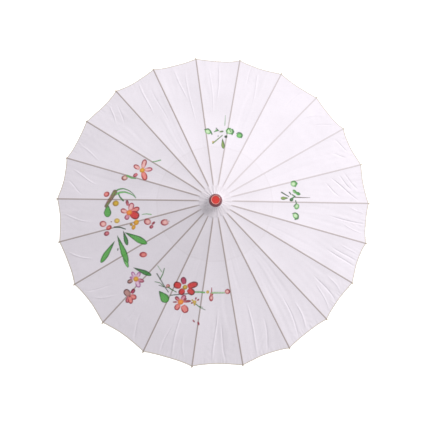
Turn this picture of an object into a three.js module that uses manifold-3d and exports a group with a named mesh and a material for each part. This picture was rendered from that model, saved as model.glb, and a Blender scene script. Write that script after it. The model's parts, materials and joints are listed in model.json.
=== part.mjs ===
// Folding silk parasol: 22 bamboo ribs and stretchers on threads, a runner that slides up a wooden
// shaft, a cloth canopy with a head collar, and a red cap at the top. Millimetres, +Z up.
// The origin is the centre of the shaft's lower end face. The parasol stands open, which is rest.
//
// The linkage is a true rhombus: each stretcher is as long as the stretch of rib between the notch
// and its joint, and both pivots stand at one radius, so the runner travels straight along the shaft.

import * as THREE from 'three';
import { mergeVertices } from 'three/addons/utils/BufferGeometryUtils.js';
import Module from 'manifold-3d';

const wasm = await Module();
wasm.setup();

// ---- Driving dimensions ----

const RIB_COUNT = 22;
const TIP_RADIUS = 420;        // shaft axis to a rib's tip, open
const OPEN_SLOPE = 17;         // degrees below level that an open rib points
const PIVOT_RADIUS = 14;       // shaft axis to the threads that the ribs and stretchers turn on
const NOTCH_PIVOT_Z = 530;     // height of the ribs' thread
const LINK_LENGTH = 138;       // rib pivot to joint, and joint to stretcher pivot

// The gores are glued by hand, so the ribs aren't quite evenly spread: the drift from an even
// spread, in degrees, is one wave round the canopy and one of half its length.
const FIRST_RIB_AZIMUTH = 97.7;
const WIDE_DRIFT = { size: 2.8, phase: 31 };
const SHORT_DRIFT = { size: 2.0, phase: 8 };

const GAP = 0.3;               // air between fixed pieces that touch

const RIB_WIDTH = 3.6;
const RIB_TOP = 3;             // outer face of a rib above its pivot line
const RIB_BELLY = 2;           // inner face below the pivot line, at the joint
const RIB_TIP_DEPTH = 2.6;
const RIB_TIP_EDGE = 0.8;      // cut corners of the tip
const HEAD_WIDTH = 1.8;        // thinned ends that sit in the slots
const HEAD_RADIUS = 2.2;
const RIB_NECK = 26;           // how far a rib's thinned end runs from the pivot
const NECK_LAP = 2;            // thinned ends run this far into the full section
const STRETCHER_NECK = 8;
const STRETCHER_WIDTH = 2.8;
const STRETCHER_DEPTH = 3.6;
const TONGUE_WIDTH = 1.3;      // stretcher end inside the rib's slit
const TONGUE_RADIUS = 1.6;
const TONGUE_LENGTH = 22;
const SLIT_WIDTH = 1.8;
const SLIT_INWARD = 8;
const SLIT_OUTWARD = 19;
const SLIT_ROOF = 2.2;         // top of the slit above the pivot line

const THREAD_HOLE_RADIUS = 1;
const HOLE_SIDES = 6;
const HUB_THREAD_RADIUS = 0.5;
const JOINT_THREAD_RADIUS = 0.35;
const THREAD_SIDES = 5;

const HUB_RADIUS = 17.5;       // toothed parts of the notch and the runner
const HUB_BORE_GAP = 0.3;
const HUB_SEGMENTS = 28;
const SLOT_WIDTH = 2.1;
const SLOT_ROOT_RADIUS = 11.3;
const SLOT_END = 2.7;          // closed end of a slot, past the pivot
const GROOVE_RADIUS = 13;
const GROOVE_HEIGHT = 1.8;
const NOTCH_BELOW = 6;
const NOTCH_ABOVE = 6;
const NECK_RADIUS = 11.3;
const NECK_TOP_Z = 541;

const SHAFT_RADIUS = 6.5;
const SHAFT_TOP_Z = 548;
const RUNNER_BORE_RADIUS = 7;
const RUNNER_ABOVE = 3.5;
const RUNNER_BELOW = 7;
const RUNNER_SLEEVE_RADIUS = 10.5;
const RUNNER_SLEEVE_LENGTH = 51;

const CLOTH = 0.8;             // thickness of the canopy and collar solids
const CLOTH_GAP = 0.35;
const CLOTH_START = 12;        // along the rib, from its pivot
const HEM_FROM_TIP = 5.5;
const GORE_SAG = 2.5;          // dip of a gore between its ribs
const SAG_PAST_TIP = 60;       // the dip would fade out this far past the tips
const HEM_SCALLOP = 5;
const CLOTH_BENDS = [120, 240, 350];  // sections along the rib between the start and the hem
const COLLAR_TIE_RADIUS = 14.2;
const COLLAR_TIE_Z = 542.4;
const RIB_SEAT = 2.1;          // half width of the cloth's flat seat on a rib

const CAP_BASE_Z = 543;
const CAP_RADIUS = 16.4;
const CAP_HEIGHT = 12;
const CAP_BORE_RADIUS = 7.2;
const CAP_SEGMENTS = 24;
const END_CAP_RADIUS = 9.5;
const END_CAP_HEIGHT = 18;
const END_CAP_FLOOR = 4;

const CATCH_WIDTH = 2;
const CATCH_PIN_RADIUS = 0.8;
const CATCH_PIN_HOLE = 1.1;
const CATCH_HEIGHT = 44;
const CATCH_REACH = 10.2;      // shaft axis to the nose of the catch
const NOTCH_PIN_RADIUS = 0.9;

// ---- Worked out from them ----

const openAngle = THREE.MathUtils.degToRad(OPEN_SLOPE);
const ribLength = (TIP_RADIUS - PIVOT_RADIUS) / Math.cos(openAngle);
const runnerPivotZ = NOTCH_PIVOT_Z - 2 * LINK_LENGTH * Math.sin(openAngle);
const jointRadius = PIVOT_RADIUS + LINK_LENGTH * Math.cos(openAngle);
const jointZ = NOTCH_PIVOT_Z - LINK_LENGTH * Math.sin(openAngle);
const runnerBottomZ = runnerPivotZ - RUNNER_BELOW - RUNNER_SLEEVE_LENGTH;
const catchTopZ = runnerBottomZ - GAP;
const catchPinZ = catchTopZ - CATCH_HEIGHT + 5;
const catchPinX = 2.7;
const notchPinZ = (NOTCH_PIVOT_Z + NOTCH_ABOVE + 1 + NECK_TOP_Z) / 2;

const ribAzimuths = Array.from({ length: RIB_COUNT }, (_, i) => {
  const even = FIRST_RIB_AZIMUTH + (360 / RIB_COUNT) * i;
  const wide = Math.cos(THREE.MathUtils.degToRad(even + WIDE_DRIFT.phase));
  const short = Math.sin(THREE.MathUtils.degToRad(2 * even + SHORT_DRIFT.phase));
  return THREE.MathUtils.degToRad(even + WIDE_DRIFT.size * wide - SHORT_DRIFT.size * short);
});

// ---- Materials ----

const material = (color, roughness, metalness = 0) =>
  new THREE.MeshStandardMaterial({ color, roughness, metalness });

const bamboo = material(0xc9ae86, 0.6);
const turnedWood = material(0xb98d5a, 0.5);
const shaftWood = material(0xa87848, 0.45);
const silk = material(0xe9e2ee, 0.45);
const thread = material(0xe6dccb, 0.8);
const redPlastic = material(0xb3261f, 0.3);
const steel = material(0x9a9da0, 0.35, 1);

// ---- Solids ----

// A manifold solid from a closed geometry, with shared corners merged and slivers dropped.
function solidFrom(geometry) {
  const bare = geometry.clone();
  bare.deleteAttribute('normal');
  bare.deleteAttribute('uv');
  const merged = mergeVertices(bare);
  const corners = merged.index.array;
  const kept = [];
  for (let i = 0; i < corners.length; i += 3) {
    const [a, b, c] = [corners[i], corners[i + 1], corners[i + 2]];
    if (a !== b && b !== c && c !== a) kept.push(a, b, c);
  }
  return new wasm.Manifold(new wasm.Mesh({
    numProp: 3,
    vertProperties: merged.attributes.position.array,
    triVerts: Uint32Array.from(kept),
  }));
}

function geometryFrom(solid) {
  const mesh = solid.getMesh();
  const geometry = new THREE.BufferGeometry();
  geometry.setAttribute('position', new THREE.BufferAttribute(mesh.vertProperties, 3));
  geometry.setIndex(new THREE.BufferAttribute(mesh.triVerts, 1));
  geometry.computeVertexNormals();
  return geometry;
}

// A plate of even thickness across Y, from an outline in the XZ plane.
function plate(outline, thickness) {
  const geometry = new THREE.ExtrudeGeometry(outline, {
    depth: thickness,
    bevelEnabled: false,
    curveSegments: 4,
  });
  geometry.translate(0, 0, -thickness / 2);
  geometry.rotateX(Math.PI / 2);
  return geometry;
}

// A round bar along Y through (x, z).
function crossBar(radius, length, x, z, sides) {
  const geometry = new THREE.CylinderGeometry(radius, radius, length, sides);
  geometry.translate(x, 0, z);
  return geometry;
}

// A solid of revolution about Z, from points given as [radius, height].
function turned(points, segments) {
  const profile = points.map(([radius, height]) => new THREE.Vector2(radius, height));
  const geometry = new THREE.LatheGeometry(profile, segments);
  geometry.rotateX(Math.PI / 2);
  return geometry;
}

function block(x0, x1, width, z0, z1) {
  const geometry = new THREE.BoxGeometry(x1 - x0, width, z1 - z0);
  geometry.translate((x0 + x1) / 2, 0, (z0 + z1) / 2);
  return geometry;
}

// A closed thread whose corners stand at the ribs.
function threadRing(radius, threadRadius, z) {
  const geometry = new THREE.TorusGeometry(radius, threadRadius, THREAD_SIDES, RIB_COUNT);
  const place = geometry.attributes.position;
  const perRing = RIB_COUNT + 1;
  for (let i = 0; i < place.count; i += 1) {
    const out = Math.hypot(place.getX(i), place.getY(i));
    const azimuth = ribAzimuths[(i % perRing) % RIB_COUNT];
    place.setXYZ(i, out * Math.cos(azimuth), out * Math.sin(azimuth), place.getZ(i) + z);
  }
  return geometry;
}

// ---- Ribs and stretchers, each along +X from its hub pivot ----

function ribGeometry() {
  const body = new THREE.Shape();
  body.moveTo(RIB_NECK, RIB_TOP);
  body.lineTo(RIB_NECK, -HEAD_RADIUS);
  body.lineTo(LINK_LENGTH + SLIT_OUTWARD, -RIB_BELLY);
  body.lineTo(ribLength - 3 * RIB_TIP_EDGE, RIB_TOP - RIB_TIP_DEPTH);
  body.lineTo(ribLength, RIB_TOP - RIB_TIP_DEPTH + RIB_TIP_EDGE);
  body.lineTo(ribLength, RIB_TOP - RIB_TIP_EDGE);
  body.lineTo(ribLength - RIB_TIP_EDGE, RIB_TOP);
  body.closePath();

  const head = new THREE.Shape();
  head.absarc(0, 0, HEAD_RADIUS, Math.PI / 2, -Math.PI / 2, false);
  head.lineTo(RIB_NECK + NECK_LAP, 0.1 - HEAD_RADIUS);
  head.lineTo(RIB_NECK + NECK_LAP, HEAD_RADIUS);
  head.closePath();

  const slit = block(
    LINK_LENGTH - SLIT_INWARD,
    LINK_LENGTH + SLIT_OUTWARD,
    SLIT_WIDTH,
    -2 * RIB_BELLY,
    SLIT_ROOF,
  );
  const headHole = crossBar(THREAD_HOLE_RADIUS, RIB_WIDTH * 2, 0, 0, HOLE_SIDES);
  const jointHole = crossBar(THREAD_HOLE_RADIUS, RIB_WIDTH * 2, LINK_LENGTH, 0, HOLE_SIDES);
  const rib = solidFrom(plate(body, RIB_WIDTH))
    .add(solidFrom(plate(head, HEAD_WIDTH)))
    .subtract(solidFrom(slit))
    .subtract(solidFrom(headHole))
    .subtract(solidFrom(jointHole));
  return geometryFrom(rib);
}

function stretcherGeometry() {
  const half = STRETCHER_DEPTH / 2;
  const tongueStart = LINK_LENGTH - TONGUE_LENGTH;
  const body = block(STRETCHER_NECK, tongueStart, STRETCHER_WIDTH, -half, half);

  const head = new THREE.Shape();
  head.absarc(0, 0, HEAD_RADIUS, Math.PI / 2, -Math.PI / 2, false);
  head.lineTo(STRETCHER_NECK + NECK_LAP, 0.1 - half);
  head.lineTo(STRETCHER_NECK + NECK_LAP, half - 0.1);
  head.closePath();

  const tongue = new THREE.Shape();
  tongue.absarc(LINK_LENGTH, 0, TONGUE_RADIUS, -Math.PI / 2, Math.PI / 2, false);
  tongue.lineTo(tongueStart - NECK_LAP, TONGUE_RADIUS);
  tongue.lineTo(tongueStart - NECK_LAP, -TONGUE_RADIUS);
  tongue.closePath();

  const headHole = crossBar(THREAD_HOLE_RADIUS, RIB_WIDTH * 2, 0, 0, HOLE_SIDES);
  const jointHole = crossBar(THREAD_HOLE_RADIUS, RIB_WIDTH * 2, LINK_LENGTH, 0, HOLE_SIDES);
  const stretcher = solidFrom(body)
    .add(solidFrom(plate(head, HEAD_WIDTH)))
    .add(solidFrom(plate(tongue, TONGUE_WIDTH)))
    .subtract(solidFrom(headHole))
    .subtract(solidFrom(jointHole));
  return geometryFrom(stretcher);
}

// ---- Hubs ----

// Slots for the heads and the groove for their thread. A slot runs from the pivot's closed end
// out through the face at openZ.
function hubCuts(pivotZ, openZ) {
  const closedZ = pivotZ + Math.sign(pivotZ - openZ) * SLOT_END;
  const slot = block(
    SLOT_ROOT_RADIUS,
    HUB_RADIUS + 2,
    SLOT_WIDTH,
    Math.min(closedZ, openZ),
    Math.max(closedZ, openZ),
  );
  const half = GROOVE_HEIGHT / 2;
  const groove = turned([
    [GROOVE_RADIUS, pivotZ - half],
    [HUB_RADIUS + 2, pivotZ - half],
    [HUB_RADIUS + 2, pivotZ + half],
    [GROOVE_RADIUS, pivotZ + half],
    [GROOVE_RADIUS, pivotZ - half],
  ], HUB_SEGMENTS);
  let cuts = solidFrom(groove);
  for (const azimuth of ribAzimuths) {
    cuts = cuts.add(solidFrom(slot.clone().rotateZ(azimuth)));
  }
  return cuts;
}

function notchGeometry() {
  const bore = SHAFT_RADIUS + HUB_BORE_GAP;
  const bottom = NOTCH_PIVOT_Z - NOTCH_BELOW;
  const top = NOTCH_PIVOT_Z + NOTCH_ABOVE;
  const hub = turned([
    [bore, bottom],
    [HUB_RADIUS - 1, bottom],
    [HUB_RADIUS, bottom + 1],
    [HUB_RADIUS, top - 2],
    [HUB_RADIUS - 2, top],
    [NECK_RADIUS, top + 1],
    [NECK_RADIUS, NECK_TOP_Z],
    [bore, NECK_TOP_Z],
    [bore, bottom],
  ], HUB_SEGMENTS);
  const pinHole = crossBar(NOTCH_PIN_RADIUS + GAP, 4 * NECK_RADIUS, 0, notchPinZ, HOLE_SIDES);
  return geometryFrom(
    solidFrom(hub)
      .subtract(hubCuts(NOTCH_PIVOT_Z, bottom - 1))
      .subtract(solidFrom(pinHole)),
  );
}

function runnerGeometry() {
  const top = runnerPivotZ + RUNNER_ABOVE;
  const shoulder = runnerPivotZ - RUNNER_BELOW;
  const runner = turned([
    [RUNNER_BORE_RADIUS, runnerBottomZ],
    [RUNNER_SLEEVE_RADIUS + 1, runnerBottomZ],
    [RUNNER_SLEEVE_RADIUS + 1, runnerBottomZ + 4],
    [RUNNER_SLEEVE_RADIUS, runnerBottomZ + 5],
    [RUNNER_SLEEVE_RADIUS, shoulder - 3],
    [HUB_RADIUS - 1, shoulder],
    [HUB_RADIUS, shoulder + 1],
    [HUB_RADIUS, top - 1],
    [HUB_RADIUS - 1, top],
    [RUNNER_BORE_RADIUS, top],
    [RUNNER_BORE_RADIUS, runnerBottomZ],
  ], HUB_SEGMENTS);
  return geometryFrom(solidFrom(runner).subtract(hubCuts(runnerPivotZ, top + 1)));
}

// ---- Shaft and catch ----

function shaftGeometry() {
  const bottom = END_CAP_FLOOR + GAP;
  const bar = new THREE.CylinderGeometry(SHAFT_RADIUS, SHAFT_RADIUS, SHAFT_TOP_Z - bottom, 24);
  bar.rotateX(Math.PI / 2);
  bar.translate(0, 0, (SHAFT_TOP_Z + bottom) / 2);
  const catchSlot = block(
    -1.5, SHAFT_RADIUS + 2, CATCH_WIDTH + 2 * GAP, catchPinZ - 7, catchTopZ + 2,
  );
  const across = 4 * SHAFT_RADIUS;
  const catchPinHole = crossBar(CATCH_PIN_HOLE, across, catchPinX, catchPinZ, HOLE_SIDES);
  const notchPinHole = crossBar(NOTCH_PIN_RADIUS + GAP, across, 0, notchPinZ, HOLE_SIDES);
  return geometryFrom(
    solidFrom(bar)
      .subtract(solidFrom(catchSlot))
      .subtract(solidFrom(catchPinHole))
      .subtract(solidFrom(notchPinHole)),
  );
}

function catchGeometry() {
  const outline = new THREE.Shape([
    new THREE.Vector2(0.8, catchPinZ - 5),
    new THREE.Vector2(4.6, catchPinZ - 5),
    new THREE.Vector2(5.4, catchPinZ + 10),
    new THREE.Vector2(CATCH_REACH, catchTopZ - 4),
    new THREE.Vector2(CATCH_REACH, catchTopZ),
    new THREE.Vector2(3, catchTopZ),
    new THREE.Vector2(2.2, catchPinZ + 10),
  ]);
  const hole = crossBar(CATCH_PIN_HOLE, 4 * CATCH_WIDTH, catchPinX, catchPinZ, HOLE_SIDES);
  return geometryFrom(solidFrom(plate(outline, CATCH_WIDTH)).subtract(solidFrom(hole)));
}

// ---- Cloth ----

// A point over rib i: u along the rib from its pivot, w above its pivot line, t to its left.
function overRib(i, u, w, t) {
  const out = PIVOT_RADIUS + u * Math.cos(openAngle) + w * Math.sin(openAngle);
  const z = NOTCH_PIVOT_Z - u * Math.sin(openAngle) + w * Math.cos(openAngle);
  const azimuth = ribAzimuths[i % RIB_COUNT];
  return new THREE.Vector3(
    out * Math.cos(azimuth) - t * Math.sin(azimuth),
    out * Math.sin(azimuth) + t * Math.cos(azimuth),
    z,
  );
}

// The canopy's cross-section runs out under the cloth and back over it. Each gore spans four
// columns from the seat on one rib to the seat on the next, and dips and scallops in between.
function canopyGeometry() {
  const hem = ribLength - HEM_FROM_TIP;
  const stations = [CLOTH_START, ...CLOTH_BENDS, hem];
  const under = RIB_TOP + CLOTH_GAP;
  const section = [
    ...stations.map((u) => new THREE.Vector2(u, under)),
    ...stations.toReversed().map((u) => new THREE.Vector2(u, under + CLOTH)),
    new THREE.Vector2(CLOTH_START, under),
  ];
  const fractions = [0, 1 / 3, 2 / 3, 1];
  const geometry = new THREE.LatheGeometry(section, RIB_COUNT * fractions.length);
  const place = geometry.attributes.position;
  for (let i = 0; i < place.count; i += 1) {
    const column = Math.floor(i / section.length);
    const { x: u, y: w } = section[i % section.length];
    const gore = Math.floor(column / fractions.length) % RIB_COUNT;
    const along = fractions[column % fractions.length];
    const belly = 4 * along * (1 - along);
    const pull = u === hem ? HEM_SCALLOP * belly : 0;
    const from = overRib(gore, u - pull, w, RIB_SEAT);
    const to = overRib(gore + 1, u - pull, w, -RIB_SEAT);
    const point = from.lerp(to, along);
    point.z -= GORE_SAG * belly * Math.sin((Math.PI * u) / (ribLength + SAG_PAST_TIP));
    place.setXYZ(i, point.x, point.y, point.z);
  }
  return geometry;
}

const collarProfile = [
  [12.6, 541.6],
  [18, 537.3],
  [22, 533.4],
  [30, 530.4],
  [40.5, 527.2],
];

function collarGeometry() {
  const outer = collarProfile.map(([radius, z]) => [radius + 0.3, z + CLOTH]);
  return turned([...collarProfile, ...outer.toReversed(), collarProfile[0]], HUB_SEGMENTS);
}

// ---- Caps ----

function topCapGeometry() {
  const top = CAP_BASE_Z + CAP_HEIGHT;
  return turned([
    [0, top - 5],
    [CAP_BORE_RADIUS, top - 5],
    [CAP_BORE_RADIUS, CAP_BASE_Z],
    [CAP_RADIUS - 0.6, CAP_BASE_Z],
    [CAP_RADIUS, CAP_BASE_Z + 0.8],
    [CAP_RADIUS, CAP_BASE_Z + 3],
    [CAP_RADIUS - 3.4, top - 1.4],
    [CAP_RADIUS - 4.4, top - 0.3],
    [CAP_RADIUS - 6.0, top],
    [CAP_RADIUS - 6.8, top - 0.8],
    [0, top - 0.8],
  ], CAP_SEGMENTS);
}

function endCapGeometry() {
  const bore = SHAFT_RADIUS + HUB_BORE_GAP;
  return turned([
    [0, 0],
    [END_CAP_RADIUS - 1.2, 0],
    [END_CAP_RADIUS, 1.2],
    [END_CAP_RADIUS, END_CAP_HEIGHT - 3],
    [END_CAP_RADIUS - 1.4, END_CAP_HEIGHT],
    [bore, END_CAP_HEIGHT],
    [bore, END_CAP_FLOOR],
    [0, END_CAP_FLOOR],
  ], CAP_SEGMENTS);
}

// ---- Assembly ----

const parasol = new THREE.Group();

function addPiece(name, geometry, pieceMaterial, parent = parasol) {
  const mesh = new THREE.Mesh(geometry, pieceMaterial);
  mesh.name = name;
  parent.add(mesh);
  return mesh;
}

addPiece('shaft', shaftGeometry(), shaftWood);
addPiece('end_cap', endCapGeometry(), redPlastic);
addPiece('top_notch', notchGeometry(), turnedWood);
addPiece('notch_pin', crossBar(NOTCH_PIN_RADIUS, 2 * NECK_RADIUS, 0, notchPinZ, 12), steel);
addPiece('notch_thread', threadRing(PIVOT_RADIUS, HUB_THREAD_RADIUS, NOTCH_PIVOT_Z), thread);
addPiece('runner', runnerGeometry(), turnedWood);
addPiece('runner_thread', threadRing(PIVOT_RADIUS, HUB_THREAD_RADIUS, runnerPivotZ), thread);
addPiece('joint_thread', threadRing(jointRadius, JOINT_THREAD_RADIUS, jointZ), thread);
addPiece('spring_catch', catchGeometry(), steel);
const catchPinLength = 2 * Math.sqrt(SHAFT_RADIUS ** 2 - catchPinX ** 2) - 1;
addPiece('catch_pin', crossBar(CATCH_PIN_RADIUS, catchPinLength, catchPinX, catchPinZ, 12), steel);

const rib = ribGeometry();
const stretcher = stretcherGeometry();
ribAzimuths.forEach((azimuth, i) => {
  const spoke = new THREE.Group();
  spoke.rotation.z = azimuth;
  parasol.add(spoke);
  const number = String(i + 1).padStart(2, '0');
  const ribMesh = addPiece(`rib_${number}`, rib, bamboo, spoke);
  ribMesh.position.set(PIVOT_RADIUS, 0, NOTCH_PIVOT_Z);
  ribMesh.rotation.y = openAngle;
  const stretcherMesh = addPiece(`stretcher_${number}`, stretcher, bamboo, spoke);
  stretcherMesh.position.set(PIVOT_RADIUS, 0, runnerPivotZ);
  stretcherMesh.rotation.y = -openAngle;
});

addPiece('canopy', canopyGeometry(), silk);
addPiece('head_collar', collarGeometry(), silk);
addPiece('collar_tie', threadRing(COLLAR_TIE_RADIUS, JOINT_THREAD_RADIUS, COLLAR_TIE_Z), thread);
addPiece('top_cap', topCapGeometry(), redPlastic);

export default parasol;
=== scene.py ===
# Looks of the folding silk parasol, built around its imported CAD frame. Blender objects are in metres in
# the row frame. The sizes typed here are millimetres and degrees, and MM turns them into metres.

import json
import math

import bmesh
import bpy
import numpy as np
from mathutils import Matrix, Vector

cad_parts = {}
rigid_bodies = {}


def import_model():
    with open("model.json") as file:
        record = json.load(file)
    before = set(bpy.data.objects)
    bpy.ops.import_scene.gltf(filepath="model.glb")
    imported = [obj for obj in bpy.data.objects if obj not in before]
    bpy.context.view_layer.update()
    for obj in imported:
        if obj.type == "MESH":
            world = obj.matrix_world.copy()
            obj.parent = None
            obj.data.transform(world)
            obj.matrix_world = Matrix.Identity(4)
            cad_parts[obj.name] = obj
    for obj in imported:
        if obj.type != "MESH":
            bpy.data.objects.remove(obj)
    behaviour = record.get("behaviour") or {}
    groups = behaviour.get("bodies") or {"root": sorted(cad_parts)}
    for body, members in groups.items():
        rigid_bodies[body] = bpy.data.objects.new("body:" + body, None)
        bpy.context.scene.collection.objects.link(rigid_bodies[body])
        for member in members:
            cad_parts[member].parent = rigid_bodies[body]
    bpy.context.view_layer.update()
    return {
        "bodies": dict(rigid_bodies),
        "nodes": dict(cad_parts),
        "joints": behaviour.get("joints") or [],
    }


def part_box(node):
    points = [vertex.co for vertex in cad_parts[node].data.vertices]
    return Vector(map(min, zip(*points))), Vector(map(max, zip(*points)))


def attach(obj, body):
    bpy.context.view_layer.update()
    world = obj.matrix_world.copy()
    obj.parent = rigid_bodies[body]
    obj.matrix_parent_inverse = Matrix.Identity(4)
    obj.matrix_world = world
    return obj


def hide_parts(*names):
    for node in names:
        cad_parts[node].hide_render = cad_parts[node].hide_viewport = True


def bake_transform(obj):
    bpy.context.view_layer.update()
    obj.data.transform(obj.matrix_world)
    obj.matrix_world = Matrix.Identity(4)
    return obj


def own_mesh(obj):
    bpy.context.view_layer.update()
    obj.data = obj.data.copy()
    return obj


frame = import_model()

MM = 0.001

# ---- What the frame says: the linkage, in millimetres ----

joints = {joint["name"]: joint for joint in frame["joints"]}
RIB_COUNT = sum(body.startswith("rib_") for body in frame["bodies"])
SPOKES = [f"{i + 1:02d}" for i in range(RIB_COUNT)]
FOLDS = ["canopy_fold"] + [f"rib_fold_{spoke}" for spoke in SPOKES[1:]]

rib_pivots = [Vector(joints[fold]["pos_m"]) / MM for fold in FOLDS]
AZIMUTHS = np.array([math.atan2(pivot.y, pivot.x) for pivot in rib_pivots])
PIVOT_RADIUS = rib_pivots[0].to_2d().length
NOTCH_Z = rib_pivots[0].z
knee = Vector(joints["stretcher_fold_01"]["pos_m"]) / MM
JOINT_RADIUS = knee.to_2d().length
SLOPE = math.atan2(NOTCH_Z - knee.z, JOINT_RADIUS - PIVOT_RADIUS)
LINK = math.hypot(NOTCH_Z - knee.z, JOINT_RADIUS - PIVOT_RADIUS)
RUNNER_Z = 2 * knee.z - NOTCH_Z


def node_span(node):
    """The lowest corner, the highest corner and the middle of a CAD node, in millimetres."""
    low, high = (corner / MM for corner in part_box(node))
    return low, high, (low + high) / 2


def along_rib(node):
    """How far the points of a CAD node lie along a rib from its pivot."""
    points = np.array([vertex.co for vertex in frame["nodes"][node].data.vertices]) / MM
    out = np.hypot(points[:, 0], points[:, 1]) - PIVOT_RADIUS
    return out * math.cos(SLOPE) + (NOTCH_Z - points[:, 2]) * math.sin(SLOPE)


RIB_LENGTH = along_rib("rib_01").max()
CLOTH_START = along_rib("canopy").min()

# ---- Cloth ----

RIB_TOP = 3.0            # outer face of a rib above its pivot line
CLOTH_RISE = 4.0         # outer face of the cloth above the same line, on a rib
CLOTH_THICK = 0.5
SEAT = 2.1               # half width of the strip of cloth glued to a rib
HEM_U = RIB_LENGTH - 5.5  # distances along a rib from its pivot are called u
HEM_WIDTH = 3.5
HEM_RISE = 0.35          # how far the turned hem stands up
HEM_SCALLOP = 5.0        # how far the hem draws in halfway between two ribs
SCALLOP_START = 350.0
GORE_SAG = 0.6
SAG_SPAN = RIB_LENGTH + 60
GORE_SPREAD = 0.285      # width of a gore over the distance along its ribs
PAINTED_FROM, PAINTED_TO = 125.0, 335.0  # the painted sprays lie between these
FINE_STEP, MIDDLE_STEP, COARSE_STEP = 1.5, 2.4, 4.0


def smooth(x, low, high):
    t = np.clip((x - low) / (high - low), 0, 1)
    return t * t * (3 - 2 * t)


def hem_share(u):
    """0 on the single cloth and 1 on its turned hem."""
    return smooth(u, HEM_U - HEM_WIDTH - 0.3, HEM_U - HEM_WIDTH + 0.3)


def over_rib(i, u, w, t):
    """Points over rib i: u along it from its pivot, w above its pivot line, t to its left."""
    u, w, t = np.broadcast_arrays(u, w, t)
    out = PIVOT_RADIUS + u * math.cos(SLOPE) + w * math.sin(SLOPE)
    z = NOTCH_Z - u * math.sin(SLOPE) + w * math.cos(SLOPE)
    c, s = math.cos(AZIMUTHS[i % RIB_COUNT]), math.sin(AZIMUTHS[i % RIB_COUNT])
    return np.stack([out * c - t * s, out * s + t * c, z], axis=-1)


def gore_angle(gore):
    """Angle about the shaft from rib `gore` to the next rib."""
    return (AZIMUTHS[(gore + 1) % RIB_COUNT] - AZIMUTHS[gore % RIB_COUNT]) % (2 * math.pi)


def stations(fine):
    """Distances along the rib of the cloth's rows, closer where it is painted and at the hem."""
    inner = np.arange(CLOTH_START, PAINTED_FROM, COARSE_STEP)
    painted_rows = np.arange(PAINTED_FROM, PAINTED_TO, FINE_STEP if fine else MIDDLE_STEP)
    outer = np.arange(PAINTED_TO, HEM_U - HEM_WIDTH - 1, MIDDLE_STEP)
    hem = HEM_U - np.array([HEM_WIDTH + 0.6, HEM_WIDTH, 2.6, 1.6, 0.7, 0.0])
    return np.concatenate([inner, painted_rows, outer, hem])


# Folds that the stretched cloth shows, by gore: how strong its long folds are, and the puckers and
# dents near its rim. Gore 0 lies between ribs 01 and 02.
LONG_FOLDS = [0.7, 0.5, 0.4, 0.5, 0.3, 0.3, 0.3, 0.4, 0.5, 0.6, 0.6,
              0.7, 0.7, 0.6, 0.5, 0.4, 0.4, 0.5, 0.4, 0.4, 0.6, 0.7]
RIM_PUCKERS = [0.5, 0.7, 0.9, 0.8, 0.7, 0.7, 0.8, 0.9, 1.0, 1.1, 1.2,
               1.2, 1.3, 1.3, 1.4, 1.5, 1.6, 1.5, 1.4, 1.1, 0.8, 0.6]

# Single creases by gore: where each starts and ends, as u and a share of the way to the next rib, and
# how far it stands up. A crease that sinks in has this below zero.
CREASES = [
    [(395, 0.55, 300, 0.45, 0.35), (380, 0.3, 230, 0.35, 0.3)],
    [(402, 0.45, 300, 0.6, 0.45), (360, 0.25, 250, 0.3, -0.25)],
    [(400, 0.35, 350, 0.6, 0.4), (380, 0.2, 330, 0.45, -0.3)],
    [(395, 0.6, 330, 0.8, 0.3)],
    [(390, 0.25, 320, 0.5, 0.35), (400, 0.55, 350, 0.85, -0.3)],
    [(400, 0.4, 330, 0.65, 0.3)],
    [(404, 0.3, 350, 0.65, 0.35)],
    [(404, 0.25, 340, 0.5, -0.35), (395, 0.5, 345, 0.8, 0.35)],
    [(400, 0.3, 300, 0.45, 0.4), (408, 0.7, 340, 0.55, -0.35)],
    [(405, 0.55, 290, 0.5, 0.5), (405, 0.3, 330, 0.35, -0.4), (400, 0.8, 345, 0.7, 0.35)],
    [(405, 0.4, 280, 0.5, 0.5), (405, 0.68, 310, 0.6, -0.45)],
    [(405, 0.35, 270, 0.42, 0.5), (405, 0.6, 320, 0.75, -0.45)],
    [(408, 0.3, 300, 0.5, -0.5), (402, 0.55, 330, 0.7, 0.5)],
    [(405, 0.2, 340, 0.45, 0.45), (408, 0.45, 320, 0.62, -0.5), (402, 0.7, 350, 0.85, 0.4)],
    [(410, 0.35, 320, 0.5, -0.55), (408, 0.5, 330, 0.63, -0.5), (404, 0.68, 350, 0.8, 0.4)],
    [(412, 0.45, 310, 0.55, -0.6), (404, 0.2, 350, 0.35, 0.4), (408, 0.75, 360, 0.9, 0.4)],
    [(388, 0.06, 318, 0.8, -0.8), (332, 0.2, 300, 0.65, -0.6), (373, 0.4, 343, 0.85, -0.7),
     (393, 0.4, 359, 0.9, -0.6)],
    [(402, 0.45, 378, 0.85, -0.6), (385, 0.3, 352, 0.5, -0.4)],
    [(405, 0.2, 350, 0.5, -0.45), (395, 0.6, 345, 0.85, 0.4)],
    [(405, 0.35, 335, 0.5, -0.4)],
    [(400, 0.5, 300, 0.4, 0.35), (405, 0.7, 345, 0.75, -0.35)],
    [(400, 0.45, 290, 0.5, 0.4), (380, 0.7, 250, 0.65, 0.3)],
]
CREASE_WIDTH = 1.9
CREASE_GAIN = 2.0
CREASE_BEND = 2.0        # how far a crease strays from a straight line


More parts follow.
